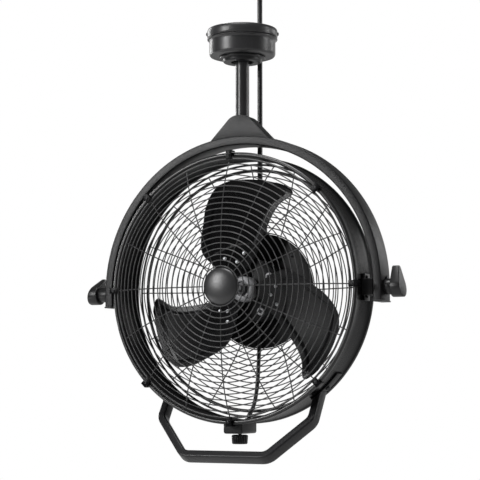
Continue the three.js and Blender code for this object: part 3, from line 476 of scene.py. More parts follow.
# ---- inside the canopy ----
# Zinc plated mounting plate, bearing bracket and pin, steel races and motor, and moulded nylon
# gears, washer and terminal block. They keep their CAD shapes, and so do two pieces that are hidden
# in their housings further down: the rotor's core and the rotary switch.
steel = Finish("turned_steel", (0.50, 0.50, 0.51), 0.34, 1.0)
steel.set("Roughness", 0.26 + steel.noise(260, 3, (1, 1, 8)) * 0.2)
nylon = Finish("natural_nylon", (0.70, 0.67, 0.58), 0.5)
nylon.shade(nylon.noise(60, 3), (0.62, 0.58, 0.49), (0.78, 0.75, 0.67))
nylon.set("Roughness", 0.42 + nylon.noise(400) * 0.18)
for name, finish in {
    "mounting_plate": zinc, "hanger_bracket": zinc, "rod_pin": zinc,
    "bearing_race_lower": steel, "bearing_race_upper": steel, "gear_motor": steel,
    "rotor_core": steel, "thrust_washer": nylon, "orbit_gear": nylon, "orbit_pinion": nylon,
    "terminal_block": nylon, "rotary_switch": nylon,
}.items():
    dress(nodes[name], finish)

# ---- downrod ----
# Three-quarter inch steel pipe in the same powder coat, drilled across at the top for its pin.
def cylinder(name, radius, low, high, axis="Z", at=(0, 0, 0), sides=32):
    """A plain cylinder between two places along its axis."""
    return turned(name, [(radius, low), (radius, high)], axis, at, sides, ring=False)


rod_coat = powder_coat("downrod_powder_coat", (0.022, 0.022, 0.023), 0.32, sheen=0.6)
downrod = turned("downrod_pipe", [
    (0.0110, -0.2172), (0.0135, -0.2172), (0.0135, -0.0095), (0.0110, -0.0095),
], sides=64)
cut(downrod, cylinder("drill", 0.0033, -0.02, 0.02, "X", (0, 0, -0.0175)))
smoothed(downrod)
dress(downrod, rod_coat)
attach(downrod, "orbit")
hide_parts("downrod")

# ---- yoke ----
# A rectangular steel tube, 48 by 17 mm, rolled into a half circle with two straight legs. Each leg
# ends in a plastic plug.
YOKE_OUT, YOKE_THICK, YOKE_DEEP, YOKE_LEG = 0.2985, 0.017, 0.048, 0.029
YOKE_MIDDLE = YOKE_OUT - YOKE_THICK / 2
yoke_coat = powder_coat("yoke_powder_coat", (0.008, 0.008, 0.0085), 0.34, 0.00022, sheen=0.26)


def bar_section(name, at, width, depth, corner):
    """The rounded outline of a flat bar's section, as one closed line of edges."""
    bpy.ops.object.select_all(action="DESELECT")
    bpy.ops.mesh.primitive_plane_add(size=1, location=at)
    piece = bpy.context.object
    piece.name = piece.data.name = name
    piece.scale = (width, depth, 1)
    settled(piece)
    bpy.ops.object.mode_set(mode="EDIT")
    bpy.ops.mesh.select_all(action="SELECT")
    bpy.ops.mesh.bevel(offset=corner, offset_type="OFFSET", segments=4, affect="VERTICES")
    bpy.ops.mesh.select_mode(type="EDGE")
    bpy.ops.mesh.select_all(action="SELECT")
    bpy.ops.mesh.delete(type="ONLY_FACE")
    bpy.ops.mesh.select_all(action="SELECT")
    return piece


def drawn(x, z):
    """The selected outline is drawn out by that much, across and up."""
    bpy.ops.mesh.extrude_edges_move(TRANSFORM_OT_translate={"value": (x, 0, z)})


def bent(angle, centre, steps=10):
    """The selected outline goes round a bend."""
    bpy.ops.mesh.spin(
        steps=steps, dupli=False, angle=angle, use_auto_merge=False, center=centre, axis=(0, 1, 0)
    )


def closed_ends(piece):
    bpy.ops.mesh.select_all(action="DESELECT")
    bpy.ops.mesh.select_non_manifold()
    bpy.ops.mesh.fill_holes(sides=0)
    bpy.ops.mesh.select_all(action="SELECT")
    bpy.ops.mesh.normals_make_consistent(inside=False)
    bpy.ops.object.mode_set(mode="OBJECT")
    return piece


yoke = bar_section(
    "yoke_tube", (YOKE_MIDDLE, 0, HUB_Z - YOKE_LEG), YOKE_THICK, YOKE_DEEP, corner=0.0022
)
drawn(0, YOKE_LEG)
bent(math.pi, (0, 0, HUB_Z), steps=120)
drawn(0, -YOKE_LEG)
closed_ends(yoke)
smoothed(yoke)
dress(yoke, yoke_coat)
joined("yoke_tube", yoke, *[
    screw_head((side * YOKE_OUT, 0.003, HUB_Z + 0.014), (side, 0, 0), 0.0034, 0.9, black_oxide)
    for side in (-1, 1)
])
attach(yoke, "orbit")
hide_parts("yoke_arch")

SIDES = ((-1, "left"), (1, "right"))
PLUG_HALF_X, PLUG_HALF_Y = 0.0095, 0.025
for side, name in SIDES:
    middle = side * YOKE_MIDDLE
    cap = block(
        "cap",
        (middle - PLUG_HALF_X, -PLUG_HALF_Y, HUB_Z - 0.0323),
        (middle + PLUG_HALF_X, PLUG_HALF_Y, HUB_Z - 0.0293),
    )
    softened(cap, 0.0012, 3)
    dress(cap, moulded)
    cap.name = f"yoke_plug_{name}"
    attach(cap, "orbit")
    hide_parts(f"yoke_end_cap_{name}")

# ---- gusset ----
# Sheet steel folded into a peaked box and welded to the yoke's crown. The downrod goes into it from
# the top.
def pick(piece, test):
    """Selects the vertices whose place passes the test, with the edges and faces between them."""
    bpy.ops.object.mode_set(mode="OBJECT")
    only(piece)
    bpy.ops.object.mode_set(mode="EDIT")
    bpy.ops.mesh.select_mode(type="VERT")
    bpy.ops.mesh.select_all(action="DESELECT")
    mesh = bmesh.from_edit_mesh(piece.data)
    for vert in mesh.verts:
        vert.select = test(vert.co)
    mesh.select_flush_mode()
    bmesh.update_edit_mesh(piece.data)


def hoop_tool(radius, reach):
    """A cylinder along the drum's axis, for cutting what lies against the drum or the yoke."""
    return cylinder("hoop_tool", radius, -reach, reach, "Y", (0, 0, HUB_Z), 240)


SEAT = 0.0003  # the gap between two pieces that touch
peak_z, foot_z = HUB_Z + 0.3415, HUB_Z + 0.2893
FOOT_HALF, PEAK_HALF, GUSSET_HALF_Y = 0.0669, 0.016, 0.016
gusset = block("gusset_box", (-FOOT_HALF, -GUSSET_HALF_Y, foot_z), (FOOT_HALF, GUSSET_HALF_Y, peak_z))
pick(gusset, lambda at: at.z > peak_z - 0.001)
bpy.ops.transform.resize(value=(PEAK_HALF / FOOT_HALF, 1, 1), center_override=(0, 0, peak_z))
for side in (-1, 1):
    pick(gusset, lambda at: at.z > peak_z - 0.001 and at.x * side > 0)
    bpy.ops.mesh.bevel(offset=0.011, segments=8)
bpy.ops.object.mode_set(mode="OBJECT")
rod_bore = cylinder("rod_bore", 0.0138, peak_z - 0.03, peak_z + 0.01, sides=64)
cut(gusset, hoop_tool(YOKE_OUT + SEAT, 0.03), rod_bore)
softened(gusset, 0.0012, 3)
dress(gusset, yoke_coat)
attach(gusset, "orbit")
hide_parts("gusset")

# ---- clamp levers ----
# Moulded plastic drops on round hubs, each over the steel stud that the head tilts on. They are
# wedges, thicker at their round ends, and the left one is the slimmer at its point.
AXIS_Z = HUB_Z - 0.004  # the tilt axis
DROP_R, POINT_R, POINT_UP, DROP_DEEP = 0.020, 0.006, 0.033, 0.014
ROUND_END_EXTRA = 0.009  # what the outer face gains there, as the point gains point_extra
for name, side, hub_length, lean, point_extra in (
    ("left", -1, 0.024, -33, -0.006), ("right", 1, 0.014, 0, 0),
):
    face = YOKE_OUT + SEAT
    neck = face + hub_length
    hub = turned("hub", [
        (0.0150, face), (0.0150, neck - 0.003), (0.0138, neck), (0.0138, neck + 0.002),
    ], "X", sides=48, ring=False)
    round_end = cylinder("round_end", DROP_R, neck, neck + DROP_DEEP, "X", sides=64)
    point = cylinder("point", POINT_R, neck, neck + DROP_DEEP, "X", (0, 0, POINT_UP))
    drop = joined("drop", round_end, point)
    bpy.ops.object.mode_set(mode="EDIT")
    bpy.ops.mesh.select_all(action="SELECT")
    bpy.ops.mesh.convex_hull()
    bpy.ops.mesh.select_all(action="SELECT")
    bpy.ops.mesh.dissolve_limited(angle_limit=math.radians(2))
    bpy.ops.object.mode_set(mode="OBJECT")
    for vert in drop.data.vertices:
        if vert.co.x > neck + DROP_DEEP / 2:
            down = (POINT_UP + POINT_R - vert.co.z) / (POINT_UP + POINT_R + DROP_R)
            vert.co.x += point_extra + (ROUND_END_EXTRA - point_extra) * down
    softened(drop, 0.0018, 3, 60)
    softened(hub, 0.0006)
    stud = cylinder("stud", 0.005, 0.2675, face + 0.003, "X")
    dress(drop, moulded)
    dress(hub, moulded)
    dress(stud, zinc)
    lever = joined(f"clamp_lever_{name}_drop", drop, hub, stud)
    lever.data.transform(Matrix.Rotation(math.radians(lean), 4, "X"))
    if side < 0:
        lever.data.transform(Matrix.Scale(-1, 4, (1, 0, 0)))
        lever.data.flip_normals()
    lever.data.transform(Matrix.Translation((0, 0, AXIS_Z)))
    smoothed(lever)
    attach(lever, f"lever_{name}")
    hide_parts(f"clamp_lever_{name}")

# ---- pivot blocks ----
# Moulded blocks, each on a foot bolted to the drum's side. The clamp stud screws into it.
DRUM_R = 0.258
for side, name in SIDES:
    body = block("body", (0.246, -0.020, AXIS_Z - 0.0155), (0.2799, 0.020, AXIS_Z + 0.0155))
    feet = block("feet", (0.246, -0.013, AXIS_Z - 0.0255), (0.262, 0.013, AXIS_Z + 0.0255))
    cut(body, feet, operation="UNION")
    stud_bore = cylinder("stud_bore", 0.0056, 0.2665, 0.30, "X", (0, 0, AXIS_Z), 40)
    cut(body, hoop_tool(DRUM_R + SEAT, 0.05), stud_bore)
    softened(body, 0.0012, 3)
    dress(body, moulded)
    bolts = [
        screw_head((0.2618, -0.004, AXIS_Z + lift), (1, 0, 0), 0.0036, 0.3, black_oxide)
        for lift in (-0.0195, 0.0195)
    ]
    piece = joined(f"pivot_block_{name}_body", body, *bolts)
    if side < 0:
        piece.data.transform(Matrix.Rotation(math.pi, 4, "Z"))
    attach(piece, "head")
    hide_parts(f"pivot_block_{name}")

# ---- drum ----
# A rolled steel hoop, coated inside and out. It flares softly to a curled bead at each edge. Painted
# highlight: the beads wear a glossier copy of the same coat, so they shine brighter than the wall.
FRONT_Y, REAR_Y = -0.0495, 0.0335  # the beads' middles
BEAD_MIDDLE_R, BEAD_R, BEAD_HIGHLIGHT_REACH = 0.2579, 0.0045, 0.0042  # the last is its coat's reach
LEAD_EXIT = (0.008, 0.013)  # where the motor lead goes through the drum
drum_coat = powder_coat("drum_powder_coat", (0.005, 0.005, 0.0055), 0.28, 0.00009, sheen=0.07)
# Painted highlight: the drum's own powder coat, only glossier, so that the beads catch brighter lines
# of light
bead_highlight_coat = powder_coat("bead_painted_highlight_coat", (0.008, 0.008, 0.0085), 0.30, 0.00004, sheen=0.6)


def bead(middle, first, last, steps):
    """Points round a bead in the drum's profile, by degrees from the outward direction."""
    points = []
    for i in range(steps + 1):
        out, along = around(first + (last - first) * i / steps, BEAD_R)
        points.append((BEAD_MIDDLE_R + out, middle + along))
    return points


drum = turned("drum_hoop", [
    (0.2560, 0.0315), (0.2560, -0.0465), *bead(FRONT_Y, -225, 50, 12), (0.2601, -0.0435),
    (0.2592, -0.0390), (0.2586, -0.0330), (0.2582, -0.0270), (DRUM_R, -0.0200), (DRUM_R, 0.0120),
    (0.2582, 0.0180), (0.2587, 0.0230), (0.2596, 0.0275), *bead(REAR_Y, -50, 135, 9), (0.2542, 0.0355),
], "Y", (0, 0, HUB_Z), 192)
cut(drum, cylinder("lead_hole", 0.006, HUB_Z - 0.262, HUB_Z - 0.252, at=(*LEAD_EXIT, 0)))
smoothed(drum, 50)
dress(drum, drum_coat, bead_highlight_coat)
# Faces within that reach of each bead take the glossier copy, a painted highlight on a hoop of one
# coat
for face in drum.data.polygons:
    y = face.center.y
    face.material_index = 1 if y < FRONT_Y + BEAD_HIGHLIGHT_REACH or y > REAR_Y - BEAD_HIGHLIGHT_REACH else 0
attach(drum, "head")
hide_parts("drum")

# ---- guards ----
# Spot-welded steel wire, dipped black: rings over sixteen radial wires. The front one is domed, and
# the rear one is a dish that carries the motor plate.
wire_coat = Finish("guard_wire_coat", (0.035, 0.035, 0.036), 0.3)
wire_coat.shader.inputs["Specular IOR Level"].default_value = 0.6
wire_coat.shade(wire_coat.noise(300, 2), (0.020, 0.020, 0.021), (0.045, 0.045, 0.046))
wire_coat.set("Roughness", 0.3 + wire_coat.noise(900) * 0.18)
GUARD_R, WIRE_R, RADIAL_STEPS = 0.249, 0.00115, 24


def dome_y(r):
    """The front rings' place by their radius: a dome, 40 mm deep and flat in the middle."""
    return -0.0559 - 0.040 * (1 - (r / GUARD_R) ** 3.9)


def dish_y(r):
    """The rear rings' place: a slope, 44 mm deep, from the rim to the motor plate."""
    return 0.0399 + 0.0441 * (1 - max(0, (r - 0.1153) / 0.1337) ** 1.5)


def wire_ring(r, y, wire_r):
    bpy.ops.object.select_all(action="DESELECT")
    bpy.ops.mesh.primitive_torus_add(
        major_radius=r, minor_radius=wire_r,
        major_segments=max(48, min(144, int(r * 800))), minor_segments=8,
        location=(0, y, HUB_Z), rotation=(math.pi / 2, 0, 0),
    )
    return settled(bpy.context.object)


def wire_guard(name, height, inner, count, inward, heavy):
    """Rings at even steps over a dish, with thicker wire for the heavy ones by their number from
    the rim, and sixteen radial wires a step inward of them."""
    parts = []
    for i in range(count):
        r = inner + (GUARD_R - inner) * i / (count - 1)
        parts.append(wire_ring(r, height(r), heavy.get(count - 1 - i, WIRE_R)))
    for k in range(16):
        across, up = around(22.5 * k)
        points = []
        for i in range(RADIAL_STEPS + 1):
            r = inner + (GUARD_R - inner) * i / RADIAL_STEPS
            points.append((r * across, height(r) + inward, HUB_Z + r * up))
        parts.append(tube("radial", points, WIRE_R, 2))
    guard = joined(name, *parts)
    return smoothed(guard, 60)


front_guard = wire_guard("front_guard_wires", dome_y, 0.0385, 20, 0.0022, {0: 0.0021})
rear_guard = wire_guard("rear_guard_wires", dish_y, 0.1170, 13, -0.0022, {0: 0.0021, 1: 0.0032})
for guard, node in ((front_guard, "front_guard"), (rear_guard, "rear_guard")):
    dress(guard, wire_coat)
    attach(guard, "head")
    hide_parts(node)

# ---- badge ----
# A plain domed disc of satin black plastic, snapped to the middle of the front guard.
badge_satin = Finish("badge_satin", (0.018, 0.018, 0.019), 0.34)
badge_satin.shader.inputs["Specular IOR Level"].default_value = 0.7
badge_satin.set("Roughness", 0.28 + badge_satin.noise(1200) * 0.12)
badge_satin.bump(badge_satin.noise(1600), 0.00004, 0.5)
badge = turned("badge_disc", [
    (0.0352, -0.0925), (0.0362, -0.0925), (0.0365, -0.0932), (0.0362, -0.0942), (0.0350, -0.0955),
    (0.0325, -0.0971), (0.0290, -0.0986), (0.0240, -0.1000), (0.0180, -0.1012), (0.0110, -0.1021),
    (0.0050, -0.1025), (0.0010, -0.1025),
], "Y", (0, 0, HUB_Z), 96, ring=False)
smoothed(badge, 50)
dress(badge, badge_satin)
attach(badge, "head")
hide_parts("guard_badge")

# ---- guard clips ----
# Eight stamped steel straps hook over the drum's front bead, each held by a screw.
clip = block("clip_master", (0.2481, -0.0611, -0.006), (0.2658, -0.0587, 0.006))
hook = block("hook", (0.2634, -0.0600, -0.006), (0.2658, -0.0445, 0.006))
cut(clip, hook, operation="UNION")
softened(clip, 0.0007, 3)
dress(clip, drum_coat)
clip_screw = screw_head((0.2570, -0.0610, 0), (0, -1, 0), 0.0034, 0.6, black_oxide)
clip_master = joined("clip_master", clip, clip_screw)
for i in range(8):
    turn = Matrix.Rotation(math.radians(45 * i), 4, "Y")
    strap = copied(clip_master, Matrix.Translation((0, 0, HUB_Z)) @ turn, f"clip_{i + 1}_strap")
    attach(strap, "head")
    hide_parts(f"guard_clip_{i + 1}")
bpy.data.objects.remove(clip_master)

# ---- motor plate ----
# A pressed steel disc with a wire hole, welded to the rear guard's inner ring, with three screws
# near its rim.
plate_coat = powder_coat("plate_powder_coat", (0.007, 0.007, 0.0075), 0.4, sheen=0.2)
motor_plate = turned("motor_plate_disc", [
    (0.0020, 0.0836), (0.064, 0.0836), (0.068, 0.083), (0.104, 0.083), (0.107, 0.0834),
    (0.115, 0.0834), (0.115, 0.085), (0.0020, 0.085),
], "Y", (0, 0, HUB_Z), 128, ring=False)
cut(motor_plate, cylinder("wire_hole", 0.008, 0.08, 0.09, "Y", (0, 0, HUB_Z - 0.040)))
softened(motor_plate, 0.0004)
dress(motor_plate, plate_coat)
plate_screws = []
for turn in (45, 165, 285):
    across, up = around(turn, 0.098)
    for y, facing in ((0.083, -1), (0.085, 1)):
        on_plate = (across, y, HUB_Z + up)
        plate_screws.append(screw_head(on_plate, (0, facing, 0), 0.0045, 0.4, black_oxide))
joined("motor_plate_disc", motor_plate, *plate_screws)
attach(motor_plate, "head")
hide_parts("motor_plate")

# ---- motor ----
# A die-cast can with cooling grooves, and a coned end bell in front, with four bare bosses for its
# screws. The moulded cover behind the plate closes the wiring room.
MOTOR_R, GROOVE_R, GROOVE_STEP = 0.0620, 0.0600, 0.0058
grooves = []
for i in range(6):
    y = 0.046 + GROOVE_STEP * i
    grooves += [
        (MOTOR_R, y), (GROOVE_R, y + 0.0006), (GROOVE_R, y + 0.0022), (MOTOR_R, y + 0.0028),
    ]
motor_can = turned("motor_can", [
    (0.046, 0.038), (0.0612, 0.038), (MOTOR_R, 0.0388), *grooves, (MOTOR_R, 0.0827), (0.046, 0.0827),
], "Y", (0, 0, HUB_Z), 96)
softened(motor_can, 0.0003)
end_bell = turned("end_bell_cone", [
    (0.0065, 0.0377), (MOTOR_R, 0.0377), (MOTOR_R, 0.0350), (0.0608, 0.0340), (0.0500, 0.0310),
    (0.0320, 0.0292), (0.0200, 0.0287), (0.0160, 0.0287), (0.0065, 0.0287),
], "Y", (0, 0, HUB_Z), 96)
softened(end_bell, 0.0004)
motor_cover = turned("motor_cover_cup", [
    (0.0580, 0.0853), (0.0600, 0.0853), (0.0600, 0.1130), (0.0594, 0.1165), (0.0574, 0.1195),
    (0.0545, 0.1214), (0.0500, 0.1223), (0.0260, 0.1223), (0.0240, 0.1216), (0.0020, 0.1216),
    (0.0020, 0.1196), (0.0500, 0.1200), (0.0560, 0.1165), (0.0580, 0.1120),
], "Y", (0, 0, HUB_Z), 96)
softened(motor_cover, 0.0003)
for piece, finish in ((motor_can, plate_coat), (end_bell, plate_coat), (motor_cover, moulded)):
    dress(piece, finish)
cast = Finish("cast_metal", (0.24, 0.24, 0.25), 0.5, 0.6)
cast.shade(cast.noise(260, 3), (0.18, 0.18, 0.19), (0.40, 0.40, 0.41))
cast.set("Roughness", 0.42 + cast.noise(500) * 0.2)
BOSS_AT_R, BOSS_Y = 0.050, 0.0278
bell_screws, cover_screws = [], []
for turn in (30, 120, 210, 300):
    across, up = around(turn, BOSS_AT_R)
    boss = turned("boss", [
        (0.0078, 0.034), (0.0076, 0.0285), (0.0068, BOSS_Y), (0.002, BOSS_Y),
    ], "Y", (across, 0, HUB_Z + up), 24, ring=False)
    dress(softened(boss, 0.0004), cast)
    on_boss = (across, BOSS_Y, HUB_Z + up)
    bell_screws += [boss, screw_head(on_boss, (0, -1, 0), 0.0036, 0.3, black_oxide)]
    across, up = around(turn, 0.045)
    on_cover = (across, 0.1219, HUB_Z + up)
    cover_screws.append(screw_head(on_cover, (0, 1, 0), 0.0034, 0.5, black_oxide))
joined("end_bell_cone", end_bell, *bell_screws)
joined("motor_cover_cup", motor_cover, *cover_screws)
for piece, node, slot_name in (
    (motor_can, "motor_housing", "black_coat"), (end_bell, "motor_end_bell", "black_coat"),
    (motor_cover, "motor_cover", "black_plastic"),
):
    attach(piece, "head")
    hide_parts(node)

# ---- gland, motor lead and grommet ----
# The supply cord enters by a ribbed gland on the cover. A jacketed lead goes from the motor to the
# switch box, through a rubber grommet in the drum.
gland = turned("gland_nut", [
    (0.0054, 0.0603), (0.0090, 0.0603), (0.0090, 0.0670), (0.0082, 0.0684), (0.0076, 0.0700),
    (0.0080, 0.0706), (0.0072, 0.0716), (0.0074, 0.0724), (0.0066, 0.0734), (0.0062, 0.0750),
    (0.0054, 0.0750),
], "Z", (0, 0.104, HUB_Z), 40)
softened(gland, 0.0003)
dress(gland, moulded)
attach(gland, "head")
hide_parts("cord_gland")

lead_turns = [
    (0, 0.069, -0.065), (0, 0.074, -0.085), (0.001, 0.073, -0.112), (0.003, 0.066, -0.145),
    (0.005, 0.058, -0.176), (0.006, 0.049, -0.204), (0.007, 0.037, -0.225), (0.008, 0.022, -0.239),
    (0.008, 0.013, -0.245), (0.008, 0.013, -0.2507),
]
lead_line = smooth_line([(x, y, HUB_Z + z) for x, y, z in lead_turns], 5)
lead = tube("motor_lead_run", lead_line, 0.004, 6)
dress(lead, rubber)
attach(lead, "head")
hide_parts("motor_lead")

grommet = turned("lead_grommet_bush", [
    (0.0042, HUB_Z - 0.2595), (0.0056, HUB_Z - 0.2595), (0.0056, HUB_Z - 0.2548),
    (0.0090, HUB_Z - 0.2548), (0.0090, HUB_Z - 0.2534), (0.0070, HUB_Z - 0.2510),
    (0.0042, HUB_Z - 0.2510),
], "Z", (*LEAD_EXIT, 0), 32)
softened(grommet, 0.0004)
dress(grommet, rubber)
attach(grommet, "head")
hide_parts("lead_grommet")

# ---- rotor ----
# Three stamped steel blades, each with a sunk panel inside a margin and a lip along its leading
# edge, riveted to a spider's arm. Its cast hub is clamped to the motor's shaft by a nut.
TIP_R, ARM_END = 0.217, 0.084
blade_coat = powder_coat("blade_coat", (0.005, 0.005, 0.0055), 0.28, 0.00003, sheen=0.26)
BLADE_EDGES = [
    # radius, degrees of the trailing and leading edges from the arm
    (0.040, 26, -26), (0.062, 31, -32), (ARM_END, 30.5, -34.5), (0.5 * TIP_R, 27.7, -36.2),
    (0.685 * TIP_R, 13, -38.4), (0.82 * TIP_R, 5.6, -41.2), (0.927 * TIP_R, -1.1, -46),
    (0.977 * TIP_R, -6, -46), (TIP_R, -12, -40),
]
ARM_EDGES = [
    (0.020, 36, -36), (0.040, 24, -24), (0.062, 20, -20), (0.078, 18, -18), (ARM_END, 12, -12),
]
ROTOR_Y, TWIST_START_R = 0.014, 0.062
SWEEP, ROOT_PITCH, TIP_PITCH = 20, 30, 14  # degrees


def twist_y(r, degrees):
    """How far back a point of the blades' twisted surface lies, by degrees from its arm."""
    reach = min(1, max(0, (r - TWIST_START_R) / (TIP_R - TWIST_START_R)))
    pitch = math.radians(ROOT_PITCH - (ROOT_PITCH - TIP_PITCH) * reach)
    return ROTOR_Y - r * math.sin(math.radians(degrees + SWEEP * reach)) * math.tan(pitch)


def flat(r, from_trail, from_lead):
    """The arm's pressing: none."""
    return 0


MARGIN, WALL, PANEL_DEEP, PANEL_ROOT_R = 0.0135, 0.0055, 0.0040, 0.074  # WALL is its slope's width
LIP, LIP_SLOPE = 0.016, 0.30


def pressed(r, from_trail, from_lead):
    """How far forward the blade's pressing brings a point: the sunk panel, and the leading lip."""
    inside = min(from_trail, from_lead + 0.002, TIP_R - r, r - PANEL_ROOT_R)
    slope = min(1, max(0, (inside - MARGIN) / WALL))
    return LIP_SLOPE * max(0, LIP - from_lead) - PANEL_DEEP * slope * slope * (3 - 2 * slope)


def twisted_sheet(name, edges, offset, thickness, relief, columns, rows):
    """A sheet between two edges on the twisted surface, its middle at that offset, less the relief
    at each point."""
    lines = smooth_line(edges, rows)
    bpy.ops.object.select_all(action="DESELECT")
    bpy.ops.mesh.primitive_grid_add(x_subdivisions=columns, y_subdivisions=len(lines) - 1, size=2)
    piece = bpy.context.object
    piece.name = piece.data.name = name
    for vert in piece.data.vertices:
        r, trail, lead_edge = lines[round((vert.co.y + 1) / 2 * (len(lines) - 1))]
        part = (vert.co.x + 1) / 2
        degrees = trail + (lead_edge - trail) * part
        chord = math.radians(trail - lead_edge) * r
        y = twist_y(r, degrees) + offset - relief(r, chord * part, chord * (1 - part))
        across, up = around(degrees, r)
        vert.co = (across, y, up)
    wall = piece.modifiers.new("wall", "SOLIDIFY")
    wall.thickness, wall.offset = thickness, 0
    applied(piece)
    bpy.ops.object.mode_set(mode="EDIT")
    bpy.ops.mesh.select_all(action="SELECT")
    bpy.ops.mesh.normals_make_consistent(inside=False)
    bpy.ops.object.mode_set(mode="OBJECT")
    return softened(piece, 0.0005, 2, 50)


blade_master = twisted_sheet("blade_master", BLADE_EDGES, -0.0030, 0.0022, pressed, 90, 11)
dress(blade_master, blade_coat)
rivets = []
for r, degrees in ((0.057, -2), (0.072, 13), (0.072, -15)):
    across, up = around(degrees, r)
    place = (across, twist_y(r, degrees) - 0.0041, up)
    rivet = turned("rivet", [
        (0.0040, 0.0006), (0.0040, -0.0006), (0.0032, -0.0018), (0.0014, -0.0024),
    ], "Y", place, 20, ring=False)
    smoothed(rivet)
    dress(rivet, zinc)
    rivets.append(rivet)
blade_master = joined("blade_master", blade_master, *rivets)
arm_master = twisted_sheet("arm_master", ARM_EDGES, 0, 0.003, flat, 12, 4)
dress(arm_master, blade_coat)
spider = turned("spider_hub", [
    (0.0063, -0.001), (0.0140, -0.001), (0.0145, -0.004), (0.0200, -0.004), (0.0232, -0.0025),
    (0.0250, 0.001), (0.0250, 0.020), (0.0238, 0.022), (0.0063, 0.022),
], "Y", (0, 0, 0), 64)
softened(spider, 0.0005)
dress(spider, cast)
arms = []
for k in range(3):
    turn = Matrix.Translation((0, 0, HUB_Z)) @ Matrix.Rotation(-math.radians(110 + 120 * k), 4, "Y")
    blade = copied(blade_master, turn, f"blade_{k + 1}_sheet")
    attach(blade, "rotor")
    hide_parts(f"blade_{k + 1}")
    arms.append(copied(arm_master, turn))
spider.data.transform(Matrix.Translation((0, 0, HUB_Z)))
nut = turned("nut", [
    (0.0125, -0.001), (0.0125, -0.0085), (0.0110, -0.0098), (0.0072, -0.0100), (0.0066, -0.0130),
    (0.0040, -0.0148),
], "Y", (0, 0, HUB_Z), 6, ring=False)
dress(nut, black_oxide)
spider = joined("spider_hub", spider, nut, *arms)
smoothed(spider)
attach(spider, "rotor")
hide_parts("blade_spider")
bpy.data.objects.remove(blade_master)
bpy.data.objects.remove(arm_master)
shaft = turned("shaft_steel", [
    (0.0052, -0.0100), (0.0060, -0.0092), (0.0060, 0.068),
], "Y", (0, 0, HUB_Z), 40, ring=False)
smoothed(shaft)
dress(shaft, steel)
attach(shaft, "rotor")
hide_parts("rotor_shaft")

# ---- handle ----
# A flat steel bar bent into a wide bow, leaning forward. Its legs end against two curved brackets
# that are bolted to the drum.
handle_coat = powder_coat("handle_powder_coat", (0.012, 0.012, 0.013), 0.36, 0.00014, sheen=0.35)
LEAN = math.radians(34)
BEND_R = 0.026
BAND_R, BAND_THICK = 0.2598, 0.003
half, bar_half = 0.16096, 0.088  # half the width between the legs, and half the bottom bar
leg_top, slant_top = 0.175, 0.082  # heights above the bottom bar
slant = Vector((half - bar_half, slant_top))
turn_top = math.atan2(slant.x, slant.y)
turn_low = math.pi / 2 - turn_top
back_top = BEND_R * math.tan(turn_top / 2)
back_low = BEND_R * math.tan(turn_low / 2)
handle = bar_section("handle_bow", (-half, 0, leg_top), 0.015, 0.026, corner=0.0035)
drawn(0, slant_top + back_top - leg_top)
bent(turn_top, (-half + BEND_R, 0, slant_top + back_top))
run = slant.length - back_top - back_low
drawn(run * math.sin(turn_top), -run * math.cos(turn_top))
bent(turn_low, (-bar_half + back_low, 0, BEND_R))
drawn(2 * (bar_half - back_low), 0)
bent(turn_low, (bar_half - back_low, 0, BEND_R))
drawn(run * math.sin(turn_top), run * math.cos(turn_top))
bent(turn_top, (half - BEND_R, 0, slant_top + back_top))
drawn(0, leg_top - slant_top - back_top)
closed_ends(handle)
handle.rotation_euler = (-LEAN, 0, 0)
handle.location = (0, -0.073, HUB_Z - 0.323)
settled(handle)
cut(handle, hoop_tool(BAND_R + BAND_THICK / 2 + SEAT, 0.2))
smoothed(handle)
dress(handle, handle_coat)
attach(handle, "head")
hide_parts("handle")

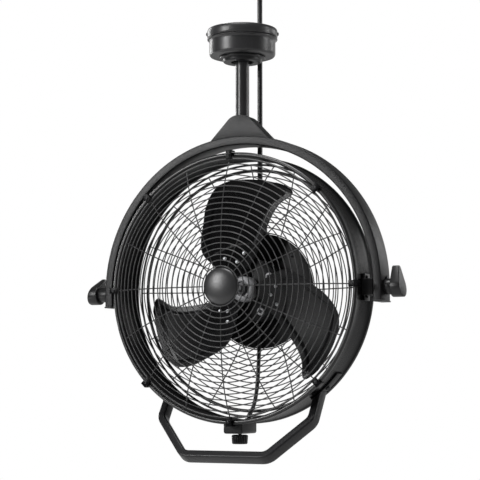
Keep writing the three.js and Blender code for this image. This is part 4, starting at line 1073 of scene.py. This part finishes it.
BAND_Y, BAND_DEGREES, BRACKET_DEGREES = 0.008, 16, 55.4
for side, name in SIDES:
    band = bar_section("band", (BAND_R, BAND_Y, HUB_Z), BAND_THICK, 0.026, corner=0.0012)
    bent(math.radians(BAND_DEGREES), (0, 0, HUB_Z), steps=12)
    closed_ends(band)
    smoothed(band)
    dress(band, drum_coat)
    across, up = around(BAND_DEGREES / 2)
    out = Vector((across, 0, up))
    bolt_at = Vector((0, BAND_Y, HUB_Z))
    bolts = [
        screw_head(bolt_at + out * 0.2612, out, 0.0055, finish=black_oxide),
        screw_head(bolt_at + out * 0.2561, -out, 0.0055, finish=black_oxide),
    ]
    bracket = joined(f"handle_bracket_{name}_band", band, *bolts)
    to_hub = Matrix.Translation((0, 0, HUB_Z))
    lowered = Matrix.Rotation(math.radians(BRACKET_DEGREES), 4, "Y")
    bracket.data.transform(to_hub @ lowered @ to_hub.inverted())
    if side < 0:
        bracket.data.transform(Matrix.Scale(-1, 4, (1, 0, 0)))
        bracket.data.flip_normals()
    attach(bracket, "head")
    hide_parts(f"handle_bracket_{name}")

# ---- switch box and speed knob ----
# A moulded box screwed under the drum, with a fluted knob that turns the fan on and sets its speed.
switch_box = block(
    "switch_box_shell", (-0.0207, -0.043, HUB_Z - 0.2803), (0.0207, 0.023, HUB_Z - 0.252)
)
softened(switch_box, 0.0045, 5, 60)
cut(switch_box, hoop_tool(DRUM_R + SEAT, 0.06))
smoothed(switch_box)
dress(switch_box, moulded)
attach(switch_box, "head")
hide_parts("switch_box")

KNOB_Y, KNOB_SIDES, FLUTE_DEEP = -0.0114, 80, 0.0012
top = HUB_Z - 0.2825
knob = turned("speed_knob_grip", [
    (0.0035, top + 0.012), (0.0035, top), (0.0130, top), (0.0158, top - 0.0012),
    (0.0160, top - 0.0030), (0.0150, top - 0.0160), (0.0138, top - 0.0178), (0.0110, top - 0.0180),
    (0.0010, top - 0.0180),
], "Z", (0, KNOB_Y, 0), KNOB_SIDES, ring=False)
bpy.ops.object.mode_set(mode="EDIT")
mesh = bmesh.from_edit_mesh(knob.data)
for vert in mesh.verts:
    out = Vector((vert.co.x, vert.co.y - KNOB_Y))
    if out.length > 0.0125 and vert.co.z < top - 0.0005:
        side = round(math.atan2(out.y, out.x) / (2 * math.pi) * KNOB_SIDES)
        if side % 4 == 0:
            vert.co.x -= out.x / out.length * FLUTE_DEEP
            vert.co.y -= out.y / out.length * FLUTE_DEEP
bmesh.update_edit_mesh(knob.data)
bpy.ops.object.mode_set(mode="OBJECT")
smoothed(knob, 30)
dress(knob, moulded)
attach(knob, "speed_control")
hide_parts("speed_knob")
bpy.data.objects.remove(screw_master)
